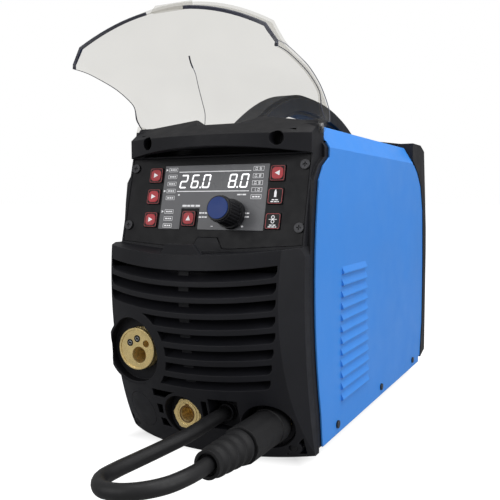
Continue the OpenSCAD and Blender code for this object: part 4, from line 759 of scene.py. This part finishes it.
def add_display():
    lines = [rect(-1, 66.7, 76, 0.8), rect(-1, 48.0, 76, 0.8)]
    print_out = PLATE_TOP + PRINT_T
    for h in MODE_HEIGHTS:
        lines += box_frame(-45.8, h, 9.4, 3.6, FRAME_LINE)
        lines += words(-45.8, h, 6.6, SMALL_T, (2, 0.6, 2, 0.6, 1.4))
    for h in PROCESS_HEIGHTS:
        lines += box_frame(-45.2, h, 9.4, 3.6, FRAME_LINE)
        lines += words(-45.2, h, 6.6, SMALL_T, (2, 0.6, 1.6, 0.6, 1.8))
    for h in WIRE_HEIGHTS:
        lines += box_frame(44.6, h, 10.2, 3.9, FRAME_LINE)
    for size, h in zip(WIRE_SIZES, WIRE_HEIGHTS):
        lines += number(size, 41, h - 1.3, 2.2, 2.6, 0.5, 4.2)
    lines += words(44.6, WIRE_HEIGHTS[4], 7.4, 1.4, (2, 0.5, 2, 0.5, 1.5))
    for x, h in ((-52.8, MODE_HEIGHTS[0]), (-52.8, MODE_HEIGHTS[3]), (-52.3, PROCESS_HEIGHTS[0])):
        lines.append(arrow(x, h, SMALL_ARROW, 0))
    lines += words(-36.5, 44.6, 1.8, 1.4, (1,)) + words(30, 44.6, 9, SMALL_T, (2.4, 0.4, 0.5, 0.4, 2.4))
    lines += words(-21.5, 34.2, 19, 1.7, (3, 0.4, 2, 0.4, 2.6, 0.8, 3))
    for x, h in ((-7.5, 27.5), (-7.5, 23.6), (35.5, 27.5), (35.5, 24.2)):
        lines += words(x, h, 8.5, SMALL_T, (2, 0.5, 1.6, 0.5, 2))
    lines += [rect(3, 15.2, 2.2, 0.6), rect(34, 15.4, 2.2, 0.6), rect(34, 15.4, 0.6, 2.2)]
    prisms("panel_print", lines, PLATE_TOP, print_out, on_panel, PRINT_WHITE, "housing")
    figures = number("260", -37.2, *FIGURE, 12.2) + number("80", 14.6, *FIGURE, 12)
    figures += [rect(x, 51.7, POINT_D, POINT_D) for x in (-14.2, 24.6)]
    prisms("display_figures", figures, PLATE_TOP, print_out, on_panel, DIGIT_WHITE, "housing")


# place on the panel and quarter turns of the arrow, None for a button with an icon
BUTTONS = {"mode_button": (-64, 63.6, 0), "trigger_button": (-64, 42.8, 0),
           "process_button": (-64, 20.4, 0), "setup_button": (-22, 22, 1),
           "wire_button": (64, 63.6, 2), "gas_test_button": (64, 42.8, None),
           "wire_inch_button": (64, 20.4, None)}


ICON_WORD_T = 0.9
ICON_WORDS = ((6, (2, 0.5, 2)), (8, (2, 0.5, 2, 0.5, 1)))


def button_icon(name, x, h):
    """A gas bottle, or two rolls on a wire, over two rows of strokes."""
    if name == "gas_test_button":
        icon, drops = [rect(x, h + 1.6, 2.2, 5.2), rect(x, h + 4.9, 1.1, 1.6)], (3.4, 5.1)
    else:
        icon, drops = [], (3.6, 5.2)
        for at in (h + 3.4, h - 0.4):
            icon += ring(disc(x, at, 1.7), disc(x, at, 1.1))
        icon.append(rect(x, h + 1.5, 7.5, 0.5))
    for drop, (width, pattern) in zip(drops, ICON_WORDS):
        icon += words(x, h - drop, width, ICON_WORD_T, pattern)
    return icon


EDGE_OUTER = (13.6, 13.6, 1.8)
EDGE_INNER = (12.6, 12.6, 1.4)
PAD = (10.8, 10.8, 3.6)
PAD_RISE = 0.5
PAD_ARROW = 4.2


def add_buttons():
    top = BUTTON_TOP + PRINT_T
    pad_top = BUTTON_TOP + PAD_RISE
    for name, (x, h, turn) in BUTTONS.items():
        edge = ring(round_box(x, h, *EDGE_OUTER), round_box(x, h, *EDGE_INNER))
        prisms(name + "_edge", edge, BUTTON_TOP, top, on_panel, RING_RED, name)
        if turn is None:
            prisms(name + "_icon", button_icon(name, x, h), BUTTON_TOP, top, on_panel,
                   PRINT_WHITE, name)
            continue
        prisms(name + "_pad", [round_box(x, h, *PAD, 8)], BUTTON_TOP, pad_top, on_panel,
               MATERIALS["button_red"], name)
        prisms(name + "_arrow", [arrow(x, h, PAD_ARROW, turn)], pad_top, pad_top + PRINT_T, on_panel,
               PRINT_WHITE, name)


add_display()
add_buttons()
add_socket_details()
add_shade_screen()

# ---------------------------------------------------------------- stage and light


def seen_level(tree, lit, seen):
    """A brightness that is seen directly or through clear pieces, and a lower one that lights."""
    path = tree.nodes.new("ShaderNodeLightPath")
    either = math_node(tree, "MAXIMUM")
    link(tree, path, "Is Camera Ray", either, 0)
    link(tree, path, "Is Transmission Ray", either, 1)
    return map_range(tree, either, "Value", (0, 1), lit, seen)


# where the floor's shade ends under the case, along x and y, in metres
SHADE_REACH = (("X", (0.04, 0.1)), ("Y", (0.12, 0.2)))


def clear_of_case(tree):
    """1 on the open floor and 0 in the shade right under the machine."""
    where = tree.nodes.new("ShaderNodeTexCoord")
    size = tree.nodes.new("ShaderNodeVectorMath")
    size.operation = "ABSOLUTE"
    link(tree, where, "Object", size, 0)
    axes = tree.nodes.new("ShaderNodeSeparateXYZ")
    link(tree, size, "Vector", axes, "Vector")
    either = math_node(tree, "MAXIMUM")
    for i, (axis, span) in enumerate(SHADE_REACH):
        link(tree, map_range(tree, axes, axis, span), "Result", either, i)
    return either


FLOOR_SIZE = 60
FLOOR_GREY = (0.25, 0.25, 0.25)
FLOOR_GLOW = (0.1, 1.0)
WORLD_GLOW = (0.4, 1.0)


def add_stage():
    bpy.ops.mesh.primitive_plane_add(size=FLOOR_SIZE, location=(0, 0, 0))
    floor = bpy.context.object
    floor.name = "floor"
    material = bpy.data.materials.new("floor")
    material.use_nodes = True
    shader = material.node_tree.nodes["Principled BSDF"]
    shader.inputs["Base Color"].default_value = (*FLOOR_GREY, 1)
    shader.inputs["Roughness"].default_value = 0.9
    shader.inputs["Specular IOR Level"].default_value = 0.1
    shader.inputs["Emission Color"].default_value = (1, 1, 1, 1)
    tree = material.node_tree
    level = math_node(tree, "MULTIPLY")
    link(tree, seen_level(tree, *FLOOR_GLOW), "Result", level, 0)
    link(tree, clear_of_case(tree), "Value", level, 1)
    link(tree, level, "Value", shader, "Emission Strength")
    floor.data.materials.append(material)


def add_world():
    world = bpy.data.worlds.new("world")
    scene.world = world
    world.use_nodes = True
    tree = world.node_tree
    back = tree.nodes["Background"]
    back.inputs["Color"].default_value = (1, 1, 1, 1)
    link(tree, seen_level(tree, *WORLD_GLOW), "Result", back, "Strength")


def add_light(name, at, towards, size, power):
    """A soft lamp of so many watts; places and size in metres."""
    data = bpy.data.lights.new(name, "AREA")
    data.shape = "RECTANGLE"
    data.size, data.size_y = size
    data.energy = power
    lamp = bpy.data.objects.new(name, data)
    lamp.location = at
    lamp.rotation_euler = (Vector(towards) - Vector(at)).to_track_quat("-Z", "Y").to_euler()
    scene.collection.objects.link(lamp)


add_stage()
add_world()
add_light("key", (1.7, -0.4, 0.9), (0, 0, 0.15), (1.4, 1.4), 16)
add_light("top", (0.5, 0, 1.9), (0, 0, 0.2), (1.6, 1.6), 25)
add_light("front", (-0.7, -1.9, 0.9), (0, -0.2, 0.2), (1.4, 1.2), 12)
scene.view_settings.view_transform = "Standard"
scene.view_settings.look = "None"
